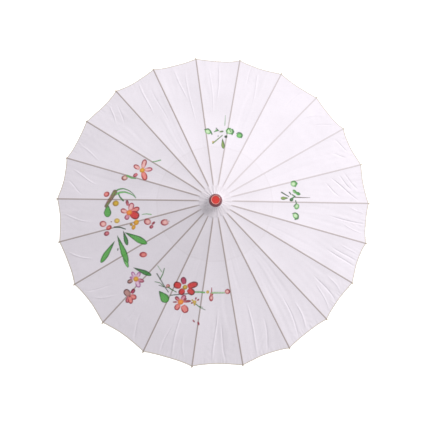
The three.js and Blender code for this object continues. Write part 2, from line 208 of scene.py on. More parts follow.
def crease_heights(gore, u, f):
    """How far the single creases of a gore stand up."""
    height = np.zeros(np.broadcast(u, f).shape)
    for u0, f0, u1, f1, rise in CREASES[gore]:
        middle = (u0 + u1) / 2 * GORE_SPREAD
        along_u, along_v = u1 - u0, (f1 - f0) * middle
        length = math.hypot(along_u, along_v)
        du, dv = u - u0, (f - f0) * middle
        share = (du * along_u + dv * along_v) / length ** 2
        aside = (dv * along_u - du * along_v) / length + CREASE_BEND * np.sin(4 * share + gore)
        fade = smooth(share, -0.15, 0.2) * (1 - smooth(share, 0.75, 1.15))
        height = height + CREASE_GAIN * rise * fade * np.exp(-(aside / CREASE_WIDTH) ** 2)
    return height


def wrinkles(gore, u, f):
    """How far the cloth of a gore stands out of its even surface."""
    gore %= RIB_COUNT
    hold = np.clip(4 * f * (1 - f), 0, 1) ** 0.7
    phase = 1.7 * gore
    across = (f - 0.5) * u * GORE_SPREAD
    drift = 0.2 * np.sin(u / 62 + phase) + 0.07 * np.sin(u / 23 + 2 * phase)
    here = smooth(np.sin(3.1 * f + u / 75 + 2.3 * phase), -0.3, 0.9)
    long_fold = np.sin(2 * math.pi * (2.3 * f + drift) + phase) * here
    fine_fold = np.sin(2 * math.pi * (5.7 * f + 1.6 * drift) + 3 * phase) * here
    lean = 1.1 if gore % 2 else -0.9
    pucker = np.sin((u + lean * across) / 3.4 + 1.2 * np.sin(across / 11 + phase))
    pucker = pucker * smooth(np.sin(across / 8 + u / 27 + 2 * phase), -0.4, 0.8)
    dents = np.sin((0.9 * u + 1.3 * across) / 8 + phase) * np.sin((1.1 * across - 0.4 * u) / 7 + 2 * phase)
    crinkle = np.sin(across / 1.5 + 1.5 * np.sin(across / 6 + phase)) * np.sin(across / 9 + 2 * phase)
    folds = LONG_FOLDS[gore] * (0.4 * long_fold + 0.16 * fine_fold) * smooth(u, 60, 280)
    rim = 0.08 * pucker * smooth(u, 300, 390) + 0.16 * dents * smooth(u, 160, 380)
    rim = rim + 0.2 * crinkle * smooth(u, HEM_U - 24, HEM_U - 8)
    return hold * (folds + RIM_PUCKERS[gore] * rim + crease_heights(gore, u, f))


def gore_points(gore, u, f):
    """The outer face of the cloth between rib `gore` at f = 0 and the next rib at f = 1."""
    belly = 4 * f * (1 - f)
    skew = 1 + 0.9 * math.sin(2.3 * gore + 0.5) * (f - 0.5) + 0.08 * np.sin(9 * f + 2.1 * gore)
    depth = HEM_SCALLOP * (1 + 0.22 * math.sin(1.9 * gore))
    drawn_in = depth * belly * skew * np.clip((u - SCALLOP_START) / (HEM_U - SCALLOP_START), 0, 1)
    near = over_rib(gore, u - drawn_in, CLOTH_RISE, SEAT)
    far = over_rib(gore + 1, u - drawn_in, CLOTH_RISE, -SEAT)
    points = near + (far - near) * f[..., None]
    points[..., 2] -= GORE_SAG * belly * np.sin(math.pi * u / SAG_SPAN)
    points[..., 2] += wrinkles(gore, u, f)
    return points


def unit(vectors):
    return vectors / np.maximum(np.linalg.norm(vectors, axis=-1, keepdims=True), 1e-12)


def surface_normals(surface, u, v, step_u, step_v):
    """Normals of a surface that is a function of u and v, from small steps of both."""
    along = surface(u + step_u, v) - surface(u - step_u, v)
    across = surface(u, v + step_v) - surface(u, v - step_v)
    return unit(np.cross(along, across))


# ---- Paint on the cloth. Places are in the plan of the open canopy, x and y from the shaft ----

def rgb(code):
    """Linear colour of a hex code."""
    parts = [int(code[i:i + 2], 16) / 255 for i in (0, 2, 4)]
    return np.array([p / 12.92 if p <= 0.04045 else ((p + 0.055) / 1.055) ** 2.4 for p in parts])


# Each tone is the body of a brush mark and the darker colour that pools at its edge.
TONES = {
    "shell": ("efcabc", "8e3630"),
    "pink": ("f6bcb6", "a01c2e"),
    "blush": ("f4c0c0", "ac344e"),
    "rose": ("e07c86", "88122e"),
    "salmon": ("ee8a82", "a01624"),
    "red": ("d62c28", "72080e"),
    "crimson": ("bc345a", "700c2c"),
    "mauve": ("de96a8", "962c50"),
    "lilac": ("ecc8de", "aa649a"),
    "dusk": ("c08c84", "5c2a26"),
    "gold": ("ecae1e", "c88a12"),
    "mustard": ("dab21c", "a47a10"),
    "orange": ("f39a22", "de7018"),
    "straw": ("e8c860", "bf9a38"),
    "leaf": ("58ae48", "1e621c"),
    "deep_leaf": ("3e8c3e", "154a1a"),
    "spring_leaf": ("7cc86a", "338438"),
    "sage": ("c4e2b2", "529a4c"),
    "moss": ("8aa84e", "4c6a30"),
    "twig": ("3a583a", "2a422c"),
    "bark": ("7d6c48", "3f3226"),
}

# Flowers: where, radius and tone of the middle, then petals by the way they point, where they start
# and end from the middle, their width and tone.
FLOWERS = [
    ((-186, 88), 7, "gold", [
        (76, 6, 30, 13.5, "pink"), (147, 8, 27, 12, "pink"), (4, 6, 27, 12, "blush"),
        (-70, 5, 29, 15, "salmon"), (215, 15, 28, 10, "rose")]),
    ((-218, -21), 7.5, "orange", [
        (102, 18, 33, 8, "rose"), (72, 6, 26, 15, "blush"), (162, 6, 24, 13, "pink"),
        (245, 6, 20, 13, "mauve"), (22, 5, 29, 14, "salmon"), (-26, 4, 29, 21, "red")]),
    ((-200, -189), 7, "gold", [
        (120, 5, 21, 10, "lilac"), (58, 5, 20, 10, "lilac"), (201, 9, 24, 11, "dusk"),
        (-68, 5, 23, 13, "lilac"), (-17, 5, 22, 10, "mauve"), (165, 5, 17, 7, "lilac")]),
    ((-216, -232), 2.5, "dusk", [
        (131, 1, 21, 17, "dusk"), (56, 8, 22, 10, "crimson"), (242, 1, 19, 12, "rose"),
        (-14, 1, 18, 14, "salmon"), (278, 1, 20, 13, "salmon")]),
    ((-75, -210), 6.5, "mustard", [
        (165, 10, 30, 18, "red"), (102, 8, 26, 14.5, "crimson"), (16, 7, 34, 16, "red"),
        (-36, 9, 29, 17, "red"), (234, 6, 23, 16, "red")]),
    ((-86, -247), 7.5, "orange", [
        (135, 5, 19, 10, "rose"), (56, 4, 21, 12, "mauve"), (6, 6, 27, 6.5, "rose"),
        (30, 6, 18, 5, "rose"), (180, 8, 20, 4, "rose"), (236, 7, 24, 14, "salmon"),
        (-60, 10, 31, 18, "salmon")]),
    ((-51, -247), 5, "straw", [
        (70, 6, 13, 4, "rose"), (31, 7, 14, 4, "rose"), (140, 3, 10, 4, "straw"),
        (270, 2, 9, 5, "straw"), (200, 4, 10, 4, "rose")]),
]

# Buds and loose petals: middle, length, width, turn, tone and the side on which the paint is darkest.
BUDS = [
    (-232, 70, 17, 14, 10, "shell", 215),
    (-279, 29, 16, 14, 20, "salmon", -30),
    (-254, 4, 17, 15, 0, "mustard", 200),
    (-250, -41, 15, 13, 0, "straw", 240),
    (-199, -47, 15, 13, 45, "gold", 250),
    (-206, -59, 13, 10, 60, "gold", 200),
    (-212, -52, 8, 7, 0, "mustard", 200),
    (-287, -48, 19, 16, -10, "pink", 150),
    (-271, -58, 16, 12, 30, "salmon", -40),
    (-277, -73, 15, 12, 20, "rose", 200),
    (-265, -43, 3.5, 3, 0, "dusk", 0),
    (-170, -46, 19, 16, -20, "pink", 170),
    (-155, -50, 11, 6, 40, "rose", 0),
    (-160, -59, 11, 9, 30, "rose", 200),
    (-126, -49, 21, 16, 0, "pink", 190),
    (-181, -128, 20, 14, 0, "salmon", 150),
    (-247, -114, 7, 3, 80, "twig", 0),
    (-118, -207, 10, 10, 60, "pink", -20),
    (-18, -222, 8, 8, 0, "straw", 0),
    (-8, -227, 9, 8, 90, "salmon", 0),
    (-9, -237, 17, 11, 90, "pink", 200),
    (32, -221, 14, 13, 0, "pink", 20),
    (-53, -295, 8, 4, 130, "rose", 0),
    (-41, -301, 10, 5, 110, "rose", 0),
    (-17, 190, 18, 15, -40, "sage", 40),
    (-4, 160, 6, 5, 0, "straw", 0),
    (5, 193, 8, 6, 0, "sage", 0),
    (18, 190, 11, 5, 10, "moss", 0),
    (39, 191, 20, 17, -20, "sage", 0),
    (65, 180, 17, 15, 20, "spring_leaf", 30),
    (29, 175, 8, 7.5, 0, "twig", 0),
    (9, 177, 3, 3, 0, "twig", 0),
    (204, 54, 17, 15, 20, "sage", 20),
    (206, 34, 12, 9, -40, "sage", 0),
    (215, 29, 13, 9, -20, "spring_leaf", 0),
    (197, 12, 11, 9, 30, "deep_leaf", 200),
    (211, -5, 16, 13, 60, "sage", 300),
    (208, -29, 17, 16, -45, "sage", -40),
]

# Leaves: base, tip, width and tone.
LEAVES = [
    ((-276, 4), (-275, -31), 20, "leaf"),
    ((-255, -92), (-292, -147), 15, "leaf"),
    ((-239, -110), (-220, -160), 11, "spring_leaf"),
    ((-249, -78), (-221, -148), 16, "leaf"),
    ((-233, -67), (-222, -104), 11, "deep_leaf"),
    ((-229, -71), (-171, -101), 17, "leaf"),
    ((-207, -160), (-160, -180), 12, "deep_leaf"),
    ((-141, -219), (-119, -247), 23, "leaf"),
    ((20, 170), (22, 141), 9, "moss"),
    ((189, 16), (168, 14), 9, "moss"),
]

# Brush strokes: the points that they pass, their width where they start and end, and tone.
STROKES = [
    ([(-262, 24), (-254, 37), (-245, 41), (-234, 42), (-219, 36), (-208, 27), (-201, 17)],
     5, 1.4, "leaf"),
    ([(-257, 27), (-244, 32), (-231, 33), (-217, 28), (-208, 23), (-201, 15)], 6, 1.4, "spring_leaf"),
    ([(-257, 34), (-264, 22), (-270, 13), (-276, 4), (-280, -2)], 12, 8, "bark"),
    ([(-258, 33), (-263, 27)], 4, 3, "moss"),
    ([(-268, 24), (-271, 19)], 3, 2.5, "shell"),
    ([(-264, 17), (-268, 12)], 3, 2.5, "dusk"),
    ([(-275, 12), (-277, 8)], 2.5, 2, "shell"),
    ([(-272, 6), (-279, -1)], 3, 2.5, "moss"),
    ([(-247, 28), (-243, 20), (-234, 10)], 3.4, 4, "deep_leaf"),
    ([(-225, 75), (-214, 69), (-203, 67)], 5, 3, "spring_leaf"),
    ([(-160, 109), (-151, 110), (-139, 113)], 2, 3.2, "spring_leaf"),
    ([(-184, -27), (-173, -26), (-161, -28)], 1.6, 3, "sage"),
    ([(-256, -57), (-241, -58), (-227, -63)], 3.8, 2.6, "twig"),
    ([(-144, -156), (-138, -165), (-133, -172)], 1.4, 1.8, "sage"),
    ([(-127, -163), (-131, -177), (-138, -190)], 2.2, 2.8, "leaf"),
    ([(-146, -176), (-138, -189), (-126, -209), (-117, -222)], 2.8, 2.2, "twig"),
    ([(-151, -196), (-138, -199), (-128, -209)], 1.8, 2.2, "leaf"),
    ([(-141, -205), (-131, -208), (-122, -211)], 1.6, 2, "twig"),
    ([(-118, -209), (-108, -216), (-97, -222)], 3, 2.2, "leaf"),
    ([(-112, -230), (-90, -228), (-64, -226)], 2.4, 2.6, "twig"),
    ([(-48, -252), (-38, -260), (-24, -267)], 2.6, 1.6, "leaf"),
    ([(-40, -258), (-30, -260)], 1.4, 1, "leaf"),
    ([(-50, -222), (-38, -222), (-26, -223)], 3.6, 4, "spring_leaf"),
    ([(-8, -224), (7, -224), (24, -224)], 4, 3.4, "sage"),
    ([(-8, -212), (-8, -222)], 2.2, 3, "rose"),
    ([(-26, 195), (-16, 198), (-10, 191), (-7, 182)], 2.2, 3.4, "deep_leaf"),
    ([(4, 200), (11, 192)], 2.4, 2.4, "twig"),
    ([(-1, 189), (8, 193)], 2.4, 2.4, "leaf"),
    ([(-5, 156), (6, 166), (20, 179)], 3.6, 2.2, "moss"),
    ([(27, 208), (29, 238)], 2, 1, "sage"),
    ([(32, 184), (31, 192), (36, 200), (42, 199)], 2.4, 2.4, "leaf"),
    ([(38, 197), (42, 190)], 2, 2, "leaf"),
    ([(47, 197), (50, 190), (45, 182)], 3, 3.6, "deep_leaf"),
    ([(57, 185), (62, 189), (69, 187), (72, 181), (69, 174)], 2, 3.8, "deep_leaf"),
    ([(171, 30), (180, 25), (190, 20)], 3.8, 2.4, "twig"),
    ([(192, 31), (196, 26)], 3.6, 3, "twig"),
    ([(200, 25), (207, 21), (198, 15)], 3.2, 4, "deep_leaf"),
    ([(207, 19), (228, 19), (248, 20)], 2.8, 1.2, "bark"),
    ([(198, 59), (206, 62), (214, 56), (208, 47)], 2.4, 3.4, "leaf"),
    ([(203, 37), (213, 31), (221, 28)], 3, 2.6, "leaf"),
    ([(208, 10), (210, 3), (203, -5)], 3, 2.6, "deep_leaf"),
    ([(199, -24), (207, -21), (215, -27), (214, -36), (206, -38)], 2.2, 4, "deep_leaf"),
]

STROKES_UNDER_LEAVES = 2  # the first strokes, which leaves and buds cover
PAINT_SOFT = 1.0         # width of a brush mark's soft edge
POOL_FROM, POOL_TO = 1.7, 4.6  # the pooled paint along a petal's edge fades between these depths


class PaintLayer:
    """Colour and cover of the paint at points of the plan."""

    def __init__(self, x, y):
        self.x, self.y = x, y
        self.colour = np.zeros(x.shape + (3,))
        self.cover = np.zeros(x.shape)

    def near(self, x, y, reach):
        """Whether any point lies within reach of (x, y), so that a mark there is worth painting."""
        return np.any((abs(self.x - x) < reach) & (abs(self.y - y) < reach))

    def seen_from(self, x, y, turn):
        """Places along and across a direction from (x, y)."""
        c, s = math.cos(math.radians(turn)), math.sin(math.radians(turn))
        return (self.x - x) * c + (self.y - y) * s, (self.y - y) * c - (self.x - x) * s

    def lay(self, depth, dark, tone):
        """Paint as deep inside its edge as depth tells, with dark from 0 to 1 of the pooled colour."""
        cover = np.clip(depth / PAINT_SOFT + 0.5, 0, 1)
        body, edge = (rgb(code) for code in TONES[tone])
        dark = np.clip(dark, 0, 1)[..., None]
        colour = body * (1 - dark) + edge * dark
        total = cover + self.cover * (1 - cover)
        kept = self.colour * (self.cover * (1 - cover))[..., None]
        mixed = (colour * cover[..., None] + kept) / np.maximum(total, 1e-6)[..., None]
        self.colour = np.where(total[..., None] > 1e-6, mixed, self.colour)
        self.cover = total

    def dab(self, x, y, length, width, turn, tone, dark_side):
        """An oval brush mark with its edge darker, most of all on one side."""
        if not self.near(x, y, length + width):
            return
        along, across = self.seen_from(x, y, turn)
        edge = np.hypot(along / (length / 2), across / (width / 2))
        depth = (1 - edge) * min(length, width) / 2
        aside, _ = self.seen_from(x, y, dark_side)
        toward = np.clip(aside / (width / 2), -1, 1)
        pooled = (1 - smooth(depth, POOL_FROM, POOL_TO)) * (0.9 + 0.35 * toward)
        curl = np.exp(-((edge - 0.4) / 0.12) ** 2) * smooth(toward, -0.3, 0.7) * 0.4
        streaks = 0.1 * np.sin(1.9 * across + 0.6 * along + x)
        self.lay(depth, pooled + curl * (min(length, width) > 11) + streaks, tone)

    def petal(self, x, y, turn, start, reach, width, tone):
        """A drop-shaped mark that points away from (x, y), darkest at its tip and along its edge."""
        if not self.near(x, y, reach + width):
            return
        along, across = self.seen_from(x, y, turn)
        s = (along - start) / (reach - start)
        root = np.clip((0.55 - s) / 0.62, 0, 1)
        tip = np.clip((s - 0.55) / 0.45, 0, 1)
        half = width / 2 * np.sqrt(1 - root ** 2.2) * np.sqrt(1 - tip ** 2)
        depth = np.minimum(half - abs(across), np.minimum(s, 1 - s) * (reach - start))
        pooled = (1 - smooth(depth, POOL_FROM, POOL_TO)) * (0.4 + 0.75 * smooth(s, 0.15, 0.6))
        streaks = 0.2 * np.sin(1.3 * across + turn) * smooth(s, 0.1, 0.5)
        self.lay(depth, pooled + 0.45 * smooth(s, 0.7, 1.0) + streaks, tone)

    def stroke(self, points, start, end, tone):
        """A brush stroke through points, its width going from start to end."""
        path = np.array(points, float)
        middle, reach = path.mean(axis=0), np.ptp(path, axis=0).max() + start + end
        if not self.near(middle[0], middle[1], reach):
            return
        t = np.linspace(0, 1, 48)
        line = follow(path, t)
        for _ in range(6):
            line[1:-1] = (line[:-2] + 2 * line[1:-1] + line[2:]) / 4
        depth = np.full(self.x.shape, -1e9)
        for share, (px, py) in zip(t, line):
            half = (start + (end - start) * share) / 2
            depth = np.maximum(depth, half - np.hypot(self.x - px, self.y - py))
        streaks = 0.3 * np.sin(0.9 * self.x + 0.5 * self.y) * np.sin(0.7 * self.y)
        self.lay(depth, 1 - smooth(depth, 0.2, 1.8) + streaks, tone)

    def leaf(self, base, tip, width, tone):
        """A leaf with a pointed base and a blunt tip, its edges and base darker, streaked by the brush."""
        (x0, y0), (x1, y1) = base, tip
        length = math.hypot(x1 - x0, y1 - y0)
        if not self.near((x0 + x1) / 2, (y0 + y1) / 2, length):
            return
        along, across = self.seen_from(x0, y0, math.degrees(math.atan2(y1 - y0, x1 - x0)))
        s = along / length
        widening = np.clip(s / 0.62, 0, 1) ** 0.8
        round_tip = np.sqrt(np.clip(1 - (np.clip(s - 0.62, 0, 1) / 0.38) ** 2, 0, 1))
        half = width / 2 * widening * round_tip
        depth = np.minimum(half - abs(across), np.minimum(s, 1 - s) * length)
        pooled = 0.9 * (1 - smooth(depth, 1.0, 3.6))
        root = 0.8 * (1 - smooth(s, 0.08, 0.4))
        side = 0.35 * smooth(across / (width / 2), 0.1, 0.9)
        streaks = 0.3 * np.sin(1.2 * across + 0.6 * np.sin(along / 6)) * smooth(s, 0.2, 0.4)
        self.lay(depth, pooled + root + side + streaks, tone)


def follow(points, t):
    """Places at shares t of the way from the first point to the last, one step for each point."""
    at = np.linspace(0, 1, len(points))
    return np.stack([np.interp(t, at, values) for values in zip(*points)], axis=-1)


def painted(points):
    """Colour and cover of the painted sprays at points of the cloth."""
    paint = PaintLayer(points[..., 0], points[..., 1])
    for stroke in STROKES[:STROKES_UNDER_LEAVES]:
        paint.stroke(*stroke)
    for leaf in LEAVES:
        paint.leaf(*leaf)
    for bud in BUDS:
        paint.dab(*bud)
    for stroke in STROKES[STROKES_UNDER_LEAVES:]:
        paint.stroke(*stroke)
    for (x, y), middle, tone, petals in FLOWERS:
        for petal in petals:
            paint.petal(x, y, *petal)
        paint.dab(x, y, 2 * middle, 1.8 * middle, 20, tone, 250)
    return paint.colour, paint.cover


# ---- Meshes ----

def add_object(name, data):
    obj = bpy.data.objects.new(name, data)
    bpy.context.scene.collection.objects.link(obj)
    return obj


def mesh_from(name, points, faces, sharp=35):
    """A mesh of points in millimetres, smooth but for edges sharper than `sharp` degrees."""
    mesh = bpy.data.meshes.new(name)
    mesh.from_pydata([tuple(p) for p in np.asarray(points) * MM], [], faces)
    work = bmesh.new()
    work.from_mesh(mesh)
    bmesh.ops.remove_doubles(work, verts=work.verts, dist=1e-7)
    bmesh.ops.recalc_face_normals(work, faces=work.faces)
    work.to_mesh(mesh)
    work.free()
    return shaded(mesh, sharp)


def shaded(mesh, sharp):
    mesh.shade_smooth()
    mesh.set_sharp_from_angle(angle=math.radians(sharp))
    return mesh


def circle(count):
    """Cosines and sines of points spread evenly round a circle."""
    turn = np.arange(count) * 2 * math.pi / count
    return np.cos(turn), np.sin(turn)


def loft(rings, closed=False):
    """Points and faces of a skin through rings of the same number of points. Its ends are capped
    unless it is closed on itself."""
    rings = np.asarray(rings, float)
    count, sides = rings.shape[:2]
    index = np.arange(count * sides).reshape(count, sides)
    after = np.roll(index, -1, axis=0) if closed else index[1:]
    first = index if closed else index[:-1]
    quads = np.stack([first, np.roll(first, -1, axis=1), np.roll(after, -1, axis=1), after], axis=-1)
    faces = quads.reshape(-1, 4).tolist()
    if not closed:
        faces += [index[0, ::-1].tolist(), index[-1].tolist()]
    return rings.reshape(-1, 3), faces


def eased(outline, radius, steps=4, closed=True):
    """The outline with its corners rounded off. A corner may name its own radius as a third number."""
    result = []
    count = len(outline)
    for i, corner in enumerate(outline):
        here = Vector(corner[:2])
        if not closed and i in (0, count - 1):
            result.append(tuple(here))
            continue
        before, after = Vector(outline[i - 1][:2]), Vector(outline[(i + 1) % count][:2])
        size = corner[2] if len(corner) > 2 else radius
        back, ahead = before - here, after - here
        cut = min(size, 0.45 * back.length, 0.45 * ahead.length)
        a, b = here + back.normalized() * cut, here + ahead.normalized() * cut
        for k in range(steps + 1):
            t = k / steps
            result.append(tuple(a * (1 - t) ** 2 + here * 2 * t * (1 - t) + b * t * t))
    return result


def turned(name, outline, radius, segments=132, closed=True):
    """A solid of revolution about the shaft, from an outline of radius and height whose corners are
    eased. An outline that isn't closed starts and ends on the axis."""
    c, s = circle(segments)
    rings = [np.stack([max(r, 0.0) * c, max(r, 0.0) * s, np.full(segments, z)], axis=-1)
             for r, z in eased(outline, radius, closed=closed)]
    points, faces = loft(rings, closed=closed)
    return mesh_from(name, points, faces if closed else faces[:-2])


def block(x0, x1, width, z0, z1):
    """Points and faces of a block centred on the XZ plane."""
    corners = [(x, y, z) for x in (x0, x1) for y in (-width / 2, width / 2) for z in (z0, z1)]
    faces = [(0, 1, 3, 2), (4, 6, 7, 5), (0, 4, 5, 1), (2, 3, 7, 6), (0, 2, 6, 4), (1, 5, 7, 3)]
    return np.array(corners), faces


def bar_across(radius, length, x, z, edge=0.0, sides=40):
    """Points and faces of a round bar along Y through (x, z), its ends eased where edge isn't 0."""
    c, s = circle(sides)
    half = length / 2
    stops = [(-half, radius - edge), (half, radius - edge)]
    if edge:
        stops[1:1] = [(edge - half, radius), (half - edge, radius)]
    return loft([np.stack([x + r * c, np.full(sides, y), z + r * s], axis=-1) for y, r in stops])


def joined(parts):
    """One set of points and faces from several."""
    points, faces, base = [], [], 0
    for part_points, part_faces in parts:
        points.append(np.asarray(part_points))
        faces += [[base + k for k in face] for face in part_faces]
        base += len(part_points)
    return np.concatenate(points), faces


def spun(part, azimuth):
    """Points and faces turned about the shaft."""
    points, faces = part
    c, s = math.cos(azimuth), math.sin(azimuth)
    return points @ np.array([[c, s, 0], [-s, c, 0], [0, 0, 1]]), faces


def carved(mesh, cutters, sharp=35):
    """The mesh with the cutters' solids taken out of it."""
    obj = add_object("carving", mesh)
    tools = [add_object("cutter", mesh_from("cutter", *cutter)) for cutter in cutters]
    for tool in tools:
        cut = obj.modifiers.new("cut", "BOOLEAN")
        cut.operation, cut.solver, cut.object = "DIFFERENCE", "EXACT", tool
    graph = bpy.context.evaluated_depsgraph_get()
    result = bpy.data.meshes.new_from_object(obj.evaluated_get(graph))
    for tool in [obj, *tools]:
        bpy.data.objects.remove(tool)
    return shaded(result, sharp)


def tube(path, radius, sides=8, closed=False):
    """Points and faces of a round tube along a path."""
    path = np.asarray(path, float)
    if closed:
        ahead, behind = np.roll(path, -1, axis=0), np.roll(path, 1, axis=0)
    else:
        ahead, behind = np.vstack([path[1:], path[-1:]]), np.vstack([path[:1], path[:-1]])
    along = unit(ahead - behind)
    side = np.cross(along, [0.0, 0.0, 1.0])
    flat = np.linalg.norm(side, axis=-1) < 1e-3
    side[flat] = np.cross(along[flat], [1.0, 0.0, 0.0])
    side = unit(side)
    up = np.cross(side, along)
    c, s = circle(sides)
    rings = path[:, None] + radius * (c[None, :, None] * side[:, None] + s[None, :, None] * up[:, None])
    return loft(rings, closed=closed)


def plied(path, side, up, radius, lay, plies=3, closed=False):
    """A thread of twisted plies along a path, one turn of a ply every `lay`."""
    steps = np.linalg.norm(np.diff(path, axis=0), axis=-1)
    travelled = np.concatenate([[0], np.cumsum(steps)])
    total = travelled[-1] + (np.linalg.norm(path[0] - path[-1]) if closed else 0)
    turns = max(1, round(total / lay)) if closed else total / lay
    strand = radius * 0.54
    parts = []
    for ply in range(plies):
        angle = 2 * math.pi * (travelled / total * turns + ply / plies)
        offset = (radius - strand) * (np.cos(angle)[:, None] * side + np.sin(angle)[:, None] * up)
        parts.append(tube(path + offset, strand, 7, closed))
    return joined(parts)


# ---- Materials ----

def new_material(name):
    material = bpy.data.materials.new(name)
    material.use_nodes = True
    tree = material.node_tree
    return material, tree, tree.nodes["Principled BSDF"]


def feed(tree, socket, value):
    """Set an input, or link it where the value is a socket."""
    if isinstance(value, bpy.types.NodeSocket):
        tree.links.new(value, socket)
    else:
        socket.default_value = value


def add_node(tree, kind, inputs=None, **settings):
    """A node with its settings made and its inputs fed."""
    node = tree.nodes.new("ShaderNode" + kind)
    for key, value in settings.items():
        setattr(node, key, value)
    for key, value in (inputs or {}).items():
        feed(tree, node.inputs[key], value)
    return node


def object_place(tree, scale=(1, 1, 1)):
    """Object coordinates, stretched by scale."""
    place = add_node(tree, "TexCoord").outputs["Object"]
    return add_node(tree, "Mapping", {"Vector": place, "Scale": scale}).outputs["Vector"]


def noise(tree, place, scale, detail=3.0, roughness=0.55):
    inputs = {"Vector": place, "Scale": scale, "Detail": detail, "Roughness": roughness}
    return add_node(tree, "TexNoise", inputs).outputs["Fac"]


def ramp(tree, factor, *stops):
    """A ramp through stops of position and colour, or grey where the colour is one number."""
    node = add_node(tree, "ValToRGB", {"Fac": factor})
    for element, (position, colour) in zip(node.color_ramp.elements, stops):
        element.position = position
        element.color = (*(colour * np.ones(3)), 1)
    return node.outputs["Color"]


def mix(tree, factor, a, b, blend="MIX"):
    node = add_node(tree, "Mix", data_type="RGBA", blend_type=blend)
    sockets = {"Factor_Float": factor, "A_Color": a, "B_Color": b}
    for socket in node.inputs:
        if socket.identifier in sockets:
            feed(tree, socket, sockets[socket.identifier])
    return next(s for s in node.outputs if s.identifier == "Result_Color")


def mottled(tree, colour, factor, dark, light):
    """The colour times a grey that goes from dark to light, each a position and a grey."""
    return mix(tree, 1.0, colour, ramp(tree, factor, dark, light), "MULTIPLY")


def math_node(tree, operation, a, b=0.0, clamp=False):
    return add_node(tree, "Math", {0: a, 1: b}, operation=operation, use_clamp=clamp).outputs[0]


def vector_node(tree, operation, output, *vectors):
    """One output of a vector sum, product or length."""
    inputs = dict(enumerate(vectors))
    return add_node(tree, "VectorMath", inputs, operation=operation).outputs[output]


def map_range(tree, value, source, target):
    """The value moved from one range to another and held within it."""
    inputs = {"Value": value, "From Min": source[0], "From Max": source[1],
              "To Min": target[0], "To Max": target[1]}
    return add_node(tree, "MapRange", inputs).outputs["Result"]


def finish(tree, shader, colour, rough, relief, extra):
    """Wire up a shader. Roughness is a factor and its range, and relief is a height, a strength and a
    depth in metres."""
    height, strength, depth = relief
    bump = add_node(tree, "Bump", {"Height": height, "Strength": strength, "Distance": depth})
    factor, *between = rough
    inputs = {"Base Color": colour, "Roughness": map_range(tree, factor, (0, 1), between),
              "Normal": bump.outputs["Normal"], **extra}
    for key, value in inputs.items():
        feed(tree, shader.inputs[key], value)


SILK = rgb("e7e0e7")
# the ribs seen through the cloth, and the colour of all painted shade on it
RIB_SHOW_AND_PAINTED_SHADE = rgb("97867f")
# the hem's own cream, also laid beside the ribs as a painted highlight
HEM_CREAM_AND_FLANK_HIGHLIGHT = rgb("d3cac0")
# painted highlight: the pink of the cap's rounded top edge
CAP_LIP_HIGHLIGHT = rgb("e59c92")
WEAVE_SCALE = 1500.0     # of the noise that stands for warp and weft


def silk_material():
    """Satin-faced cloth: paint, the hem with a painted highlight beside the ribs, and the ribs that show
    through with painted shade come from mesh attributes.
    """
    material, tree, shader = new_material("painted silk")
    hem, shade, paint = (add_node(tree, "Attribute", attribute_name=name).outputs
                         for name in ("hem", "shade", "paint"))
    cloudy = noise(tree, object_place(tree), 9.0)
    warp = noise(tree, object_place(tree, (1, 0.06, 0.06)), WEAVE_SCALE, 2)
    weft = noise(tree, object_place(tree, (0.06, 1, 0.06)), WEAVE_SCALE, 2)
    weave = math_node(tree, "ADD", warp, weft)
    base = ramp(tree, cloudy, (0.3, SILK * 0.97), (0.7, np.minimum(SILK * 1.03, 1)))
    base = mottled(tree, base, weave, (0.75, 0.95), (1.2, 1.0))
    # the hem's cream, and the painted highlight beside the ribs
    base = mix(tree, hem["Fac"], base, (*HEM_CREAM_AND_FLANK_HIGHLIGHT, 1))
    # painted shade, and the ribs showing through the cloth
    base = mix(tree, shade["Fac"], base, (*RIB_SHOW_AND_PAINTED_SHADE, 1))
    kept = map_range(tree, weave, (0.7, 1.3), (0.86, 1.0))
    cover = math_node(tree, "MULTIPLY", paint["Alpha"], kept, clamp=True)
    base = mix(tree, cover, base, paint["Color"])
    finish(tree, shader, base, (weave, 0.48, 0.68), (weave, 0.25, 0.0002),
           {"Sheen Weight": 0.08, "Sheen Roughness": 0.35, "Specular IOR Level": 0.2})
    return material


def bamboo_material(name, light, dark, node_places):
    """Split bamboo: grain along X of the piece, a pale skin, and darker rings at its nodes."""
    material, tree, shader = new_material(name)
    chance = add_node(tree, "ObjectInfo").outputs["Random"]
    shift = add_node(tree, "CombineXYZ", {"X": math_node(tree, "MULTIPLY", chance, 3.0)}).outputs[0]
    moved = vector_node(tree, "ADD", 0, object_place(tree, (0.04, 1, 1)), shift)
    grain = noise(tree, moved, 2600.0, 4, 0.6)
    colour = ramp(tree, grain, (0.3, dark), (0.62, light))
    colour = mottled(tree, colour, noise(tree, moved, 260.0, 2), (0.35, 0.86), (0.7, 1.04))
    place = add_node(tree, "TexCoord").outputs["Object"]
    along = add_node(tree, "SeparateXYZ", {"Vector": place}).outputs["X"]
    for x in node_places:
        away = math_node(tree, "ABSOLUTE", math_node(tree, "SUBTRACT", along, x * MM))
        ring = map_range(tree, away, (0.0, 1.6 * MM), (0.45, 0.0))
        colour = mix(tree, ring, colour, (*(dark * 0.5), 1))
    finish(tree, shader, colour, (grain, 0.42, 0.68), (grain, 0.3, 0.0002),
           {"Specular IOR Level": 0.45})
    return material


def wood_material(name, light, dark, coat, ring_scale):
    """Turned wood with its grain along the shaft, under varnish."""
    material, tree, shader = new_material(name)
    stretched = object_place(tree, (1, 1, 0.05))
    fibre = noise(tree, stretched, 1400.0, 5, 0.65)
    rings = add_node(tree, "TexWave", {"Vector": stretched, "Scale": ring_scale, "Distortion": 3.0,
                                       "Detail": 2.0}, wave_type="RINGS").outputs["Fac"]
    grain = math_node(tree, "ADD", math_node(tree, "MULTIPLY", rings, 0.45),
                      math_node(tree, "MULTIPLY", fibre, 0.6))
    colour = ramp(tree, grain, (0.3, dark), (0.75, light))
    colour = mottled(tree, colour, noise(tree, stretched, 90.0, 2), (0.35, 0.88), (0.7, 1.05))
    finish(tree, shader, colour, (fibre, 0.38, 0.6), (grain, 0.25, 0.00025),
           {"Coat Weight": coat, "Coat Roughness": 0.22})
    return material


